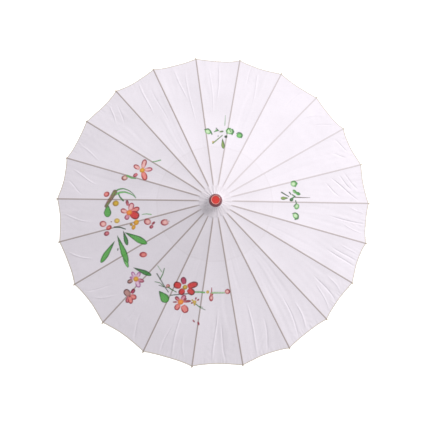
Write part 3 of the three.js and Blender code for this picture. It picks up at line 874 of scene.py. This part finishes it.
def plastic_material(name, light, dark, lip=0.0):
    """Moulded plastic with a faint orange-peel face and fine scuffs, and a painted highlight: paler
    pink inside the lip's radius."""
    material, tree, shader = new_material(name)
    even = object_place(tree)
    scuffs = noise(tree, object_place(tree, (1, 0.12, 1)), 1800.0, 4, 0.7)
    base = ramp(tree, noise(tree, even, 300.0), (0.25, dark), (0.75, light))
    if lip:
        place = add_node(tree, "TexCoord").outputs["Object"]
        flat = vector_node(tree, "MULTIPLY", 0, place, (1, 1, 0))
        radius = vector_node(tree, "LENGTH", "Value", flat)
        # painted highlight on the cap's lip
        painted_lip_highlight = map_range(tree, radius, ((lip - 0.5) * MM, (lip + 0.5) * MM), (1.0, 0.0))
        base = mix(tree, painted_lip_highlight, base, (*CAP_LIP_HIGHLIGHT, 1))
    finish(tree, shader, base, (scuffs, 0.18, 0.42), (noise(tree, even, 900.0, 2), 0.12, 0.0003),
           {"Coat Weight": 0.4, "Coat Roughness": 0.12})
    return material


def thread_material(name, light, dark):
    """Twisted cotton: fine fibres and a soft nap."""
    material, tree, shader = new_material(name)
    fibres = noise(tree, object_place(tree), 9000.0, 3, 0.7)
    finish(tree, shader, ramp(tree, fibres, (0.3, dark), (0.7, light)), (fibres, 0.75, 0.95),
           (fibres, 0.5, 0.0001), {"Sheen Weight": 0.4})
    return material


def steel_material(name, light, dark):
    """Drawn spring steel: fine lines along its length and faint dulling."""
    material, tree, shader = new_material(name)
    lines = noise(tree, object_place(tree, (1, 1, 0.03)), 9000.0, 3, 0.6)
    dull = noise(tree, object_place(tree), 350.0)
    finish(tree, shader, ramp(tree, dull, (0.3, dark), (0.75, light)), (lines, 0.24, 0.46),
           (lines, 0.15, 0.0001), {"Metallic": 1.0})
    return material


BAMBOO_NODES = (96, 236, 352)  # swollen rings of a rib, as u
STRETCHER_NODE = 62

silk = silk_material()
bamboo_rib = bamboo_material("split bamboo rib", rgb("dcc6a0"), rgb("b7986a"), BAMBOO_NODES)
bamboo_strut = bamboo_material("split bamboo stretcher", rgb("dcc8a2"), rgb("b3946a"), [STRETCHER_NODE])
hub_wood = wood_material("turned hub wood", rgb("d3ab78"), rgb("a9794a"), 0.25, 60.0)
shaft_wood = wood_material("varnished shaft wood", rgb("b98552"), rgb("84552c"), 0.6, 45.0)
cap_dark = plastic_material("cap maroon plastic", rgb("7c1628"), rgb("5c0c1c"), lip=11.2)
end_maroon = plastic_material("end cap maroon plastic", rgb("6e1b2a"), rgb("521222"))
cap_red = plastic_material("cap red plastic", rgb("e23b30"), rgb("c92a26"))
thread_cream = thread_material("cream thread", rgb("efe6d4"), rgb("c9bca2"))
spring_steel = steel_material("spring steel", rgb("b9bcbe"), rgb("8d9093"))


def settle(obj, material, body=None, node=None):
    """Give a piece its material and the body that it rides on, and hide the CAD node that it stands
    for."""
    obj.data.materials.clear()
    obj.data.materials.append(material)
    if body:
        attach(obj, body)
    if node:
        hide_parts(node)
    return obj


# ---- The canopy: a strip of cloth glued on each rib, and two half gores beside it ----

def closed_sheet(name, top, normals, thickness):
    """A thin closed mesh under a grid of points, with the grid's own normals on both faces."""
    rows, columns = top.shape[:2]
    count = rows * columns
    index = np.arange(count).reshape(rows, columns)
    under = top - normals * thickness
    face = np.stack([index[:-1, :-1], index[:-1, 1:], index[1:, 1:], index[1:, :-1]], -1).reshape(-1, 4)
    points, flat = top.reshape(-1, 3), normals.reshape(-1, 3)
    middle = face[len(face) // 2]
    a, b, c = points[middle[:3]]
    edge = np.concatenate([index[0, :-1], index[:-1, -1], index[-1, :0:-1], index[:0:-1, 0]])
    wall = np.stack([edge, edge + count, np.roll(edge, -1) + count, np.roll(edge, -1)], axis=-1)
    if np.dot(np.cross(b - a, c - a), flat[middle[0]]) <= 0:
        face, wall = face[:, ::-1], wall[:, ::-1]
    faces = np.concatenate([face, face[:, ::-1] + count, wall])
    points = np.concatenate([points, under.reshape(-1, 3)])
    mesh = bpy.data.meshes.new(name)
    mesh.from_pydata((points * MM).tolist(), [], faces.tolist())
    mesh.shade_smooth()
    corner = points[wall]
    out = unit(np.cross(corner[:, 1] - corner[:, 0], corner[:, 2] - corner[:, 0]))
    loops = np.concatenate([flat[face].reshape(-1, 3), -flat[face[:, ::-1]].reshape(-1, 3),
                            np.repeat(out, 4, axis=0)])
    mesh.normals_split_custom_set(loops.tolist())
    return mesh


def put_attribute(mesh, name, top, under):
    """A value or colour at each point of a closed sheet, for its two faces."""
    values = np.concatenate([top.reshape(-1, *top.shape[2:]), under.reshape(-1, *under.shape[2:])])
    coloured = values.ndim > 1
    attribute = mesh.attributes.new(name, "FLOAT_COLOR" if coloured else "FLOAT", "POINT")
    attribute.data.foreach_set("color" if coloured else "value",
                               np.ascontiguousarray(values, np.float32).ravel())


LIT_SIDE = math.radians(38)   # painted light: the ribs' painted shade is weakest on the side that the light comes from
RIB_SHADE, RIB_SHADE_LIT = 0.76, 0.30  # how much the ribs show through the cloth as painted shade, away from the light and towards it
FLANK_HIGHLIGHT = 0.35       # painted highlight: the cloth beside a rib is made creamy, as if lit on the flanks of its ridge
RIDGE = 0.45             # how far the cloth stands up along the middle of a rib
THREAD_PAINTED_SHADOW = 0.08      # painted shadow of the joint thread, seen through the cloth at u = LINK
INNER_PAINTED_SHADE = 0.03       # painted shade: the cloth inside the thread's ring is a little darker, where the stretchers shade it
UNDER_SHOWS = 0.5        # how much of the paint and the shade is on the cloth's inner face


def cloth_piece(name, i, points, normals, hem, shade):
    """A sheet of the canopy that rides on rib i and shows the paint where it lies."""
    mesh = closed_sheet(name, points, normals, CLOTH_THICK)
    colour, cover = painted(points)
    paint = np.concatenate([colour, cover[..., None]], axis=-1)
    under = paint * [1, 1, 1, UNDER_SHOWS]
    put_attribute(mesh, "paint", paint, under)
    put_attribute(mesh, "hem", hem, hem)
    put_attribute(mesh, "shade", shade, shade * UNDER_SHOWS)
    return settle(add_object(name, mesh), silk, f"rib_{SPOKES[i]}")


def rib_directions(i):
    """Unit vectors to the left of rib i and out of its upper face, open."""
    c, s = math.cos(AZIMUTHS[i]), math.sin(AZIMUTHS[i])
    left = np.array([-s, c, 0.0])
    outward = np.array([math.sin(SLOPE) * c, math.sin(SLOPE) * s, math.cos(SLOPE)])
    return left, outward


def gore_is_painted(gore):
    u, f = np.meshgrid(np.arange(PAINTED_FROM, PAINTED_TO, 4), np.linspace(0, 1, 30), indexing="ij")
    _, cover = painted(gore_points(gore, u, f))
    return cover.max() > 0.1


def make_half_gore(i, side, word, is_painted):
    """The cloth from rib i to the middle of the gore on its left (side 1) or right (side -1)."""
    gore = i if side > 0 else (i - 1) % RIB_COUNT
    share = np.linspace(0, 0.5, 38 if is_painted else 30)
    u, f = np.meshgrid(stations(is_painted), share if side > 0 else 1 - share, indexing="ij")
    normals = surface_normals(lambda u, f: gore_points(gore, u, f), u, f, 0.5, 0.002)
    points = gore_points(gore, u, f) + normals * (HEM_RISE * hem_share(u))[..., None]
    # painted shadow of the joint thread, and painted shade inside its ring
    shade = THREAD_PAINTED_SHADOW * np.exp(-((u - LINK) / 1.5) ** 2)
    shade = shade + INNER_PAINTED_SHADE * (1 - smooth(u, LINK - 4, LINK + 4))
    obj = cloth_piece(f"gore_{SPOKES[i]}_{word}", i, points, normals, hem_share(u), shade)
    anchor = over_rib(i, 0.0, CLOTH_RISE, side * SEAT) * MM
    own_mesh(obj)
    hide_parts("canopy")


def make_rib_strip(i):
    """The strip of cloth that is glued along rib i, which stands up as a low ridge."""
    u, t = np.meshgrid(stations(True), np.linspace(-SEAT, SEAT, 9), indexing="ij")
    left, outward = rib_directions(i)
    normals = unit(outward + left * (2 * RIDGE * t / SEAT ** 2)[..., None])
    points = over_rib(i, u, CLOTH_RISE + RIDGE * (1 - (t / SEAT) ** 2), t)
    points = points + normals * (HEM_RISE * hem_share(u))[..., None]
    # painted highlight on both flanks of the rib, carried by the hem attribute
    flank_highlight = FLANK_HIGHLIGHT * smooth(abs(t), 0.9, 1.6) * smooth(u, 15, 70)
    # painted shade of the rib through the glued cloth, partly its real colour, weaker towards the light
    lit = max(math.cos(AZIMUTHS[i] - LIT_SIDE), 0) ** 3
    shade = RIB_SHADE + (RIB_SHADE_LIT - RIB_SHADE) * lit
    shade = shade * (1 - smooth(abs(t), 1.3, SEAT)) * smooth(u, 10, 40)
    hem = np.maximum(hem_share(u), flank_highlight)
    obj = cloth_piece(f"rib_cloth_{SPOKES[i]}", i, points, normals, hem, shade)


def make_canopy():
    paint_on = [gore_is_painted(gore) for gore in range(RIB_COUNT)]
    for i in range(RIB_COUNT):
        make_rib_strip(i)
        make_half_gore(i, 1, "left", paint_on[i])
        make_half_gore(i, -1, "right", paint_on[i - 1])


# ---- Ribs and stretchers, drawn along X from their hub pivots ----

RIB_WIDTH, RIB_BELLY, RIB_TIP_DEPTH, RIB_TIP_WIDTH = 3.6, 2.0, 2.6, 3.1
HEAD_WIDTH, HEAD_RADIUS, RIB_NECK = 1.8, 2.2, 26.0
STRETCHER_WIDTH, STRETCHER_DEPTH, STRETCHER_NECK = 2.8, 3.6, 8.0
TONGUE_WIDTH, TONGUE_RADIUS, TONGUE_LENGTH = 1.3, 1.6, 22.0
SLIT_WIDTH, SLIT_INWARD, SLIT_OUTWARD, SLIT_ROOF = 1.8, 8.0, 19.0, 2.2
SLIT_END = LINK + SLIT_OUTWARD
THREAD_HOLE = 1.0
BINDING_TURNS, BINDING_WIRE = 4, 0.33


def bar_section(x, width, low, high, corner):
    """A ring of points round a bar's section at x, its corners rounded."""
    w, corner = width / 2, min(corner, width * 0.45, (high - low) * 0.45)
    outline = eased([(-w, low), (w, low), (w, high), (-w, high)], corner, steps=3)
    return [(x, y, z) for y, z in outline]


def rounded_head():
    """Sections of the round end that turns in a hub."""
    for k in range(6):
        x = -HEAD_RADIUS * math.cos(math.pi / 2 * k / 5)
        half = math.sqrt(max(HEAD_RADIUS ** 2 - x ** 2, 0.05))
        yield bar_section(x, HEAD_WIDTH, -half, half, 0.35)


def bamboo_mesh(name, rings, cutters):
    """A bar lofted through rings, with the two holes for its threads."""
    holes = [bar_across(THREAD_HOLE, 8.0, x, 0.0) for x in (0.0, LINK)]
    return carved(mesh_from(name, *loft(rings), sharp=40), [*cutters, *holes], sharp=40)


def rib_mesh():
    """A rib: thinned head, slit for its stretcher, swollen nodes and a narrow rounded tip."""
    rings = list(rounded_head())
    for x in (6.0, 14.0, RIB_NECK - 1.0):
        rings.append(bar_section(x, HEAD_WIDTH, -HEAD_RADIUS, HEAD_RADIUS, 0.35))
    tip_low = RIB_TOP - RIB_TIP_DEPTH
    for x in np.concatenate([[RIB_NECK + 0.6], np.arange(34.0, RIB_LENGTH - 6, 6.0)]):
        if x < SLIT_END:
            low = -HEAD_RADIUS + (HEAD_RADIUS - RIB_BELLY) * x / SLIT_END
        else:
            low = -RIB_BELLY + (tip_low + RIB_BELLY) * (x - SLIT_END) / (RIB_LENGTH - SLIT_END)
        swell = sum(0.22 * math.exp(-((x - place) / 3.0) ** 2) for place in BAMBOO_NODES)
        width = RIB_WIDTH - 0.5 * smooth(x, RIB_LENGTH - 60, RIB_LENGTH) + swell
        rings.append(bar_section(x, width, low - swell, RIB_TOP, 0.5))
    middle = (tip_low + RIB_TOP) / 2
    for back, scale in ((3.0, 1.0), (1.2, 0.92), (0.3, 0.72), (0.0, 0.5)):
        x, half = RIB_LENGTH - back, RIB_TIP_DEPTH / 2 * scale
        rings.append(bar_section(x, RIB_TIP_WIDTH * scale, middle - half, middle + half, 0.7))
    slit = block(LINK - SLIT_INWARD, SLIT_END, SLIT_WIDTH, -2 * RIB_BELLY, SLIT_ROOF)
    return bamboo_mesh("rib bamboo", rings, [slit])


def stretcher_mesh():
    """A stretcher: thinned head, one swollen node and a round-ended tongue."""
    deep = STRETCHER_DEPTH / 2
    rings = list(rounded_head())
    rings.append(bar_section(STRETCHER_NECK - 0.8, HEAD_WIDTH, 0.3 - HEAD_RADIUS, HEAD_RADIUS - 0.3, 0.35))
    tongue = LINK - TONGUE_LENGTH
    for x in np.linspace(STRETCHER_NECK + 0.5, tongue - 0.6, 22):
        swell = 0.2 * math.exp(-((x - STRETCHER_NODE) / 2.5) ** 2)
        rings.append(bar_section(x, STRETCHER_WIDTH + swell, -deep, deep + swell, 0.45))
    for x in (tongue + 0.6, (tongue + LINK) / 2, LINK):
        rings.append(bar_section(x, TONGUE_WIDTH, -TONGUE_RADIUS, TONGUE_RADIUS, 0.3))
    for k in range(1, 6):
        x = TONGUE_RADIUS * math.sin(math.pi / 2 * k / 5)
        half = math.sqrt(max(TONGUE_RADIUS ** 2 - x ** 2, 0.04))
        rings.append(bar_section(LINK + x, TONGUE_WIDTH, -half, half, 0.3))
    return bamboo_mesh("stretcher bamboo", rings, [])


def binding_mesh():
    """Thread wound round a rib's tip."""
    c, s = circle(24)
    windings = []
    for k in range(BINDING_TURNS):
        x = RIB_LENGTH - 4.4 + k * 0.62
        path = np.stack([x + 0 * c, 1.85 * c, RIB_TOP - 1.3 + 1.6 * s], axis=-1)
        windings.append(tube(path, BINDING_WIRE, 7, closed=True))
    return mesh_from("tip binding", *joined(windings), sharp=60)


def placed(name, mesh, i, z, pitch):
    """An object on spoke i, from a mesh along X whose start is at the pivot of height z."""
    obj = add_object(name, mesh)
    spot = Matrix.Rotation(AZIMUTHS[i], 4, "Z") @ Matrix.Translation((PIVOT_RADIUS * MM, 0, z * MM))
    obj.matrix_world = spot @ Matrix.Rotation(pitch, 4, "Y")
    return obj


def make_spokes():
    rib, stretcher, binding = rib_mesh(), stretcher_mesh(), binding_mesh()
    for i, spoke in enumerate(SPOKES):
        body = f"rib_{spoke}"
        obj = placed(f"rib_bamboo_{spoke}", rib, i, NOTCH_Z, SLOPE)
        settle(obj, bamboo_rib, body, body)
        obj = placed(f"tip_binding_{spoke}", binding, i, NOTCH_Z, SLOPE)
        settle(obj, thread_cream, body)
        body = f"stretcher_{spoke}"
        obj = placed(f"stretcher_bamboo_{spoke}", stretcher, i, RUNNER_Z, -SLOPE)
        settle(obj, bamboo_strut, body, body)


# ---- Threads ----

HUB_THREAD_RADIUS = 0.5
JOINT_THREAD_RADIUS = 0.35
KNOT_TURN = math.radians(8)  # a ring's knot stands between two ribs


def knot(place, thick):
    """A small overhand knot with two cut ends."""
    t = np.linspace(0, 2 * math.pi, 40, endpoint=False)
    loop = np.stack([0.9 * thick * np.cos(2 * t), 1.5 * thick * (np.sin(t) + 0.4 * np.sin(2 * t)),
                     1.3 * thick * np.cos(3 * t)], axis=-1)
    parts = [tube(place + loop, thick * 0.75, 8, closed=True)]
    s = np.linspace(0, 1, 8)[:, None]
    for side in (-1, 1):
        end = place + s * [0.6 * thick, side * 3.2, -2.2] + np.sin(s * 3) * [0.2, 0, 0.5]
        parts.append(tube(end, thick * 0.5, 7))
    return joined(parts)


def make_ring_thread(name, radius, z, thick, body, node, rises=(0.0,)):
    """Rings of thread round the shaft, one at each rise above z, and a knot."""
    c, s = circle(220)
    outward = np.stack([c, s, np.zeros(220)], axis=-1)
    parts = []
    for k, rise in enumerate(rises):
        path = outward * (radius + 0.25 * (k % 2)) + [0, 0, z + rise]
        parts.append(plied(path, outward, np.array([0, 0, 1.0]), thick, 2.6, closed=True))
    parts.append(knot(np.array([radius + thick * 1.2, 0.0, z]), thick))
    mesh = mesh_from(name, *spun(joined(parts), AZIMUTHS[0] + KNOT_TURN), sharp=60)
    settle(add_object(name, mesh), thread_cream, body, node)


def bead(middle, along, aside, up):
    """A small knot of thread, as a ball."""
    c, s = circle(10)
    rings = []
    for angle in np.linspace(0, math.pi, 7):
        radius = 0.75 * max(math.sin(angle), 0.15)
        ring = radius * (c[:, None] * aside + s[:, None] * up)
        rings.append(middle - 0.7 * math.cos(angle) * along + ring)
    return loft(rings)


def make_joint_thread():
    """The thread through the ribs at their joints: a half chord on each side of every rib."""
    for i, spoke in enumerate(SPOKES):
        here = over_rib(i, LINK, 0.0, 0.0)
        for side, word in ((1, "left"), (-1, "right")):
            there = over_rib(i + side, LINK, 0.0, 0.0)
            path = here + (there - here) * np.linspace(0.0, 0.5, 36)[:, None]
            along = unit(there - here)
            aside = unit(np.cross(along, [0.0, 0.0, 1.0]))
            up = np.cross(aside, along)
            chord = plied(path, aside, up, JOINT_THREAD_RADIUS, 2.2, plies=2)
            parts = [chord, bead(here + along * (RIB_WIDTH / 2 + 0.5), along, aside, up)]
            name = f"joint_thread_{spoke}_{word}"
            obj = add_object(name, mesh_from(name, *joined(parts), sharp=60))
            settle(obj, thread_cream, f"rib_{spoke}", "joint_thread")
            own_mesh(obj)


def make_threads():
    make_joint_thread()
    make_ring_thread("notch_cord", PIVOT_RADIUS, NOTCH_Z, HUB_THREAD_RADIUS, "shaft", "notch_thread")
    make_ring_thread("runner_cord", PIVOT_RADIUS, RUNNER_Z, HUB_THREAD_RADIUS, "runner", "runner_thread")
    make_ring_thread("collar_cord", 14.2, 542.2, 0.35, "shaft", "collar_tie", (-0.55, 0.0, 0.55))


# ---- Hubs, shaft and caps ----

SHAFT_RADIUS, HUB_RADIUS, HUB_BORE, RUNNER_BORE = 6.5, 17.5, 6.8, 7.0
SLEEVE_RADIUS = 10.5     # the runner's sleeve below its toothed hub
SLOT_WIDTH, SLOT_ROOT, SLOT_END = 2.1, 11.3, 2.7
GROOVE_RADIUS, GROOVE_HALF = 13.0, 0.9
PIN_HOLE, CATCH_PIN_HOLE = 1.2, 1.1
CATCH_SLOT = (-1.5, 2.6, 2.0)  # where it starts, its width, and its room above and below the catch
CAP_DISC, CAP_BORE = 9.6, 7.2
END_FLOOR = 4.0


def hub_slots(pivot_z, open_z):
    """The slots that the ribs or stretchers turn in, open towards open_z."""
    closed_z = pivot_z + math.copysign(SLOT_END, pivot_z - open_z)
    slot = block(SLOT_ROOT, HUB_RADIUS + 2, SLOT_WIDTH, min(closed_z, open_z), max(closed_z, open_z))
    return joined([spun(slot, azimuth) for azimuth in AZIMUTHS])


def groove(z):
    """The outline of a hub's thread groove round height z, from below."""
    return [(HUB_RADIUS, z - GROOVE_HALF), (GROOVE_RADIUS, z - GROOVE_HALF),
            (GROOVE_RADIUS, z + GROOVE_HALF), (HUB_RADIUS, z + GROOVE_HALF)]


def notch_pin_hole():
    return bar_across(PIN_HOLE, 40, 0, node_span("notch_pin")[2].z)


def make_notch():
    low, high, _ = node_span("top_notch")
    bottom, top = low.z, high.z
    shoulder = NOTCH_Z + 6
    outline = [
        (HUB_BORE, bottom), (HUB_RADIUS - 0.8, bottom), (HUB_RADIUS, bottom + 1.2),
        *groove(NOTCH_Z),
        (HUB_RADIUS, shoulder - 2.2, 1.5), (HUB_RADIUS - 2, shoulder), (SLOT_ROOT, shoulder + 1),
        (SLOT_ROOT, top), (HUB_BORE, top),
    ]
    cutters = [hub_slots(NOTCH_Z, bottom - 1), notch_pin_hole()]
    mesh = carved(turned("notch wood", outline, 0.35), cutters)
    settle(add_object("notch_wood", mesh), hub_wood, "shaft", "top_notch")


def make_runner():
    low, high, _ = node_span("runner")
    bottom, top = low.z, high.z
    shoulder = RUNNER_Z - 7
    foot = SLEEVE_RADIUS + 1
    outline = [
        (RUNNER_BORE, bottom), (foot, bottom, 1.2), (foot, bottom + 4.2, 1.2),
        (SLEEVE_RADIUS, bottom + 5.2), (SLEEVE_RADIUS, bottom + 22),
        (SLEEVE_RADIUS - 0.3, bottom + 23, 0.6), (SLEEVE_RADIUS, bottom + 24),
        (SLEEVE_RADIUS, shoulder - 3, 2.0), (HUB_RADIUS - 1, shoulder, 1.0), (HUB_RADIUS, shoulder + 1.2),
        *groove(RUNNER_Z),
        (HUB_RADIUS, top - 1), (HUB_RADIUS - 1, top), (RUNNER_BORE, top),
    ]
    mesh = carved(turned("runner wood", outline, 0.35), [hub_slots(RUNNER_Z, top + 1)])
    settle(add_object("runner_wood", mesh), hub_wood, "runner", "runner")


def make_shaft():
    low, high, _ = node_span("shaft")
    outline = [(0.0, low.z), (SHAFT_RADIUS, low.z), (SHAFT_RADIUS, high.z, 1.0), (0.0, high.z)]
    catch_low, catch_high, _ = node_span("spring_catch")
    start, width, room = CATCH_SLOT
    slot = block(start, SHAFT_RADIUS + 2, width, catch_low.z - room, catch_high.z + room)
    pin = node_span("catch_pin")[2]
    cutters = [slot, bar_across(CATCH_PIN_HOLE, 40, pin.x, pin.z), notch_pin_hole()]
    mesh = carved(turned("shaft wood", outline, 0.6, 96, closed=False), cutters)
    settle(add_object("shaft_wood", mesh), shaft_wood, "shaft", "shaft")


def make_top_cap():
    low, high, _ = node_span("top_cap")
    base, top, radius = low.z, high.z, high.x
    shell = [
        (CAP_DISC, top - 3.4, 0.2), (CAP_DISC, top - 0.7, 0.3), (CAP_DISC + 0.9, top, 0.4),
        (radius - 4.6, top - 0.3, 0.8), (radius - 3.4, top - 1.4, 1.0), (radius, base + 3, 1.6),
        (radius, base + 0.6), (radius - 0.5, base), (CAP_BORE, base), (CAP_BORE, top - 5),
        (CAP_DISC, top - 5),
    ]
    obj = add_object("cap_shell", turned("cap shell", shell, 0.3))
    settle(obj, cap_dark, "shaft", "top_cap")
    edge = CAP_DISC - 0.1
    disc = [(0.0, top - 3.3), (edge, top - 3.3), (edge, top - 1.2, 0.4), (6.0, top - 0.85, 1.0),
            (0.0, top - 0.8)]
    obj = add_object("cap_disc", turned("cap disc", disc, 0.3, 96, closed=False))
    settle(obj, cap_red, "shaft")


def make_end_cap():
    _, high, _ = node_span("end_cap")
    radius, top = high.x, high.z
    outline = [
        (0.0, 0.0), (radius - 1.2, 0.0, 0.8), (radius, 1.2, 0.8), (radius, top - 6),
        (radius - 0.5, top - 5.2), (radius, top - 4.4), (radius, top - 3, 1.0), (radius - 1.4, top, 0.8),
        (HUB_BORE, top), (HUB_BORE, END_FLOOR), (0.0, END_FLOOR),
    ]
    obj = add_object("end_cap_shell", turned("end cap shell", outline, 0.3, 96, closed=False))
    settle(obj, end_maroon, "shaft", "end_cap")


def make_pins():
    for node in ("notch_pin", "catch_pin"):
        low, high, middle = node_span(node)
        name = f"{node}_steel"
        part = bar_across((high.x - low.x) / 2, high.y - low.y, middle.x, middle.z, edge=0.2)
        settle(add_object(name, mesh_from(name, *part)), spring_steel, "shaft", node)


def dress_catch():
    """The CAD's own spring catch stays, in steel."""
    catch = frame["nodes"]["spring_catch"]
    for material_slot in catch.material_slots:
        material_slot.material = spring_steel


# ---- The collar: gathered under the cap, and its skirt lies on the ribs ----

COLLAR_PROFILE = [(12.7, 542.4), (14.6, 541.2), (18.2, 537.9), (22.2, 534.3), (27.0, 531.7),
                  (33.0, 529.4), (40.2, 526.95)]
COLLAR_THICK = 0.3
GATHERS, GATHER_RISE = 26, 0.8
COLLAR_PAINTED_SHADE = 0.13       # painted shade: the collar's cloth is made a little greyer, for its shaded steep cone


def collar_points(s, azimuth, dip):
    """Points of the collar's outer face: s from 0 at its tie to 1 at its edge, and dip from 0 on a
    rib to 1 halfway between two."""
    r, z = np.moveaxis(follow(COLLAR_PROFILE, s), -1, 0)
    gather = np.sin(GATHERS * azimuth + 1.3 * np.sin(5 * azimuth)) * np.clip(1 - s, 0, 1)
    z = z + GATHER_RISE * gather - 0.5 * dip * s ** 2
    r = r - 0.5 * dip * s ** 3 + 0.6 * np.sin(7 * azimuth + 2 * np.sin(3 * azimuth)) * s ** 2
    return np.stack([r * np.cos(azimuth), r * np.sin(azimuth), z], axis=-1)


def make_collar_sector(i):
    """The collar's cloth over rib i."""
    here = AZIMUTHS[i]
    to_left, to_right = gore_angle(i) / 2, gore_angle(i - 1) / 2
    across = np.concatenate([np.linspace(-1, 0, 9), np.linspace(0, 1, 9)[1:]])
    s, q = np.meshgrid(np.linspace(0, 1, 30), across, indexing="ij")
    azimuth = here + np.where(q > 0, q * to_left, q * to_right)

    def surface(s, azimuth):
        turn = azimuth - here
        share = np.where(turn > 0, turn / to_left, -turn / to_right)
        return collar_points(s, azimuth, np.sin(math.pi / 2 * np.clip(share, 0, 1)) ** 2)

    points = surface(s, azimuth)
    name = f"collar_{SPOKES[i]}"
    mesh = closed_sheet(name, points, surface_normals(surface, s, azimuth, 0.01, 0.002), COLLAR_THICK)
    none, bare = np.zeros(s.shape), np.zeros(s.shape + (4,))
    put_attribute(mesh, "paint", bare, bare)
    put_attribute(mesh, "hem", none, none)
    # painted shade over the collar's outer face
    put_attribute(mesh, "shade", none + COLLAR_PAINTED_SHADE, none)
    obj = settle(add_object(name, mesh), silk)
    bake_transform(obj)
    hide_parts("head_collar")


# ---- Build ----

make_spokes()
make_canopy()
for i in range(RIB_COUNT):
    make_collar_sector(i)
make_notch()
make_runner()
make_shaft()
make_top_cap()
make_end_cap()
make_pins()
dress_catch()
make_threads()

# ---- Floor, light and camera ----

LENS = 50.739            # for a sensor 36 mm wide and as high
LENS_SHIFT = (-0.0033, -0.0108)  # shares of the picture's width
VIEW_FROM = (12.37, 82.2)        # past -Y towards -X, and above the horizon, in degrees
VIEW_ROLL = 12.37
VIEW_DISTANCE = 1.6      # metres from the middle of the rim
FLOOR_HALF = 8           # metres
FLOOR_GLOW = 0.65
SKY_STRENGTH = 0.55
KEY_FROM = (42, 37)      # anticlockwise from +X, and above the horizon, in degrees
KEY_STRENGTH, KEY_SOFTNESS = 2.6, 26


def make_floor():
    mesh = bpy.data.meshes.new("floor")
    corners = [(x * FLOOR_HALF, y * FLOOR_HALF, 0) for x, y in ((-1, -1), (1, -1), (1, 1), (-1, 1))]
    mesh.from_pydata(corners, [], [(0, 1, 2, 3)])
    material, tree, shader = new_material("pale floor")
    faint = ramp(tree, noise(tree, object_place(tree), 3.0, 2), (0.3, 0.93), (0.7, 0.96))
    looks = {"Base Color": faint, "Roughness": 0.9, "Emission Color": (1, 1, 1, 1),
             "Emission Strength": FLOOR_GLOW}
    for key, value in looks.items():
        feed(tree, shader.inputs[key], value)
    mesh.materials.append(material)
    add_object("floor", mesh)


def make_world():
    world = bpy.data.worlds.new("studio")
    world.use_nodes = True
    background = world.node_tree.nodes["Background"]
    background.inputs["Color"].default_value = (0.97, 0.98, 1.0, 1)
    background.inputs["Strength"].default_value = SKY_STRENGTH
    bpy.context.scene.world = world


def make_key_light():
    light = bpy.data.lights.new("key", "SUN")
    light.energy, light.angle = KEY_STRENGTH, math.radians(KEY_SOFTNESS)
    turn, rise = (math.radians(angle) for angle in KEY_FROM)
    toward = Vector((math.cos(turn) * math.cos(rise), math.sin(turn) * math.cos(rise), math.sin(rise)))
    obj = add_object("key", light)
    obj.location = toward * 3
    obj.rotation_euler = toward.to_track_quat("Z", "Y").to_euler()


def make_camera():
    turn, height = (math.radians(angle) for angle in VIEW_FROM)
    back = Vector((-math.sin(turn) * math.cos(height), -math.cos(turn) * math.cos(height), math.sin(height)))
    right = Vector((0, 0, 1)).cross(back).normalized()
    facing = Matrix((right, back.cross(right), back)).transposed()
    facing = (facing @ Matrix.Rotation(math.radians(VIEW_ROLL), 3, "Z")).to_4x4()
    rim_z = (NOTCH_Z - RIB_LENGTH * math.sin(SLOPE)) * MM
    facing.translation = Vector((0, 0, rim_z)) + back * VIEW_DISTANCE
    data = bpy.data.cameras.new("camera")
    data.sensor_width, data.lens = 36, LENS
    data.shift_x, data.shift_y = LENS_SHIFT
    camera = add_object("camera", data)
    camera.matrix_world = facing
    bpy.context.scene.camera = camera


make_floor()
make_world()
make_key_light()
make_camera()
bpy.context.scene.view_settings.view_transform = "Standard"
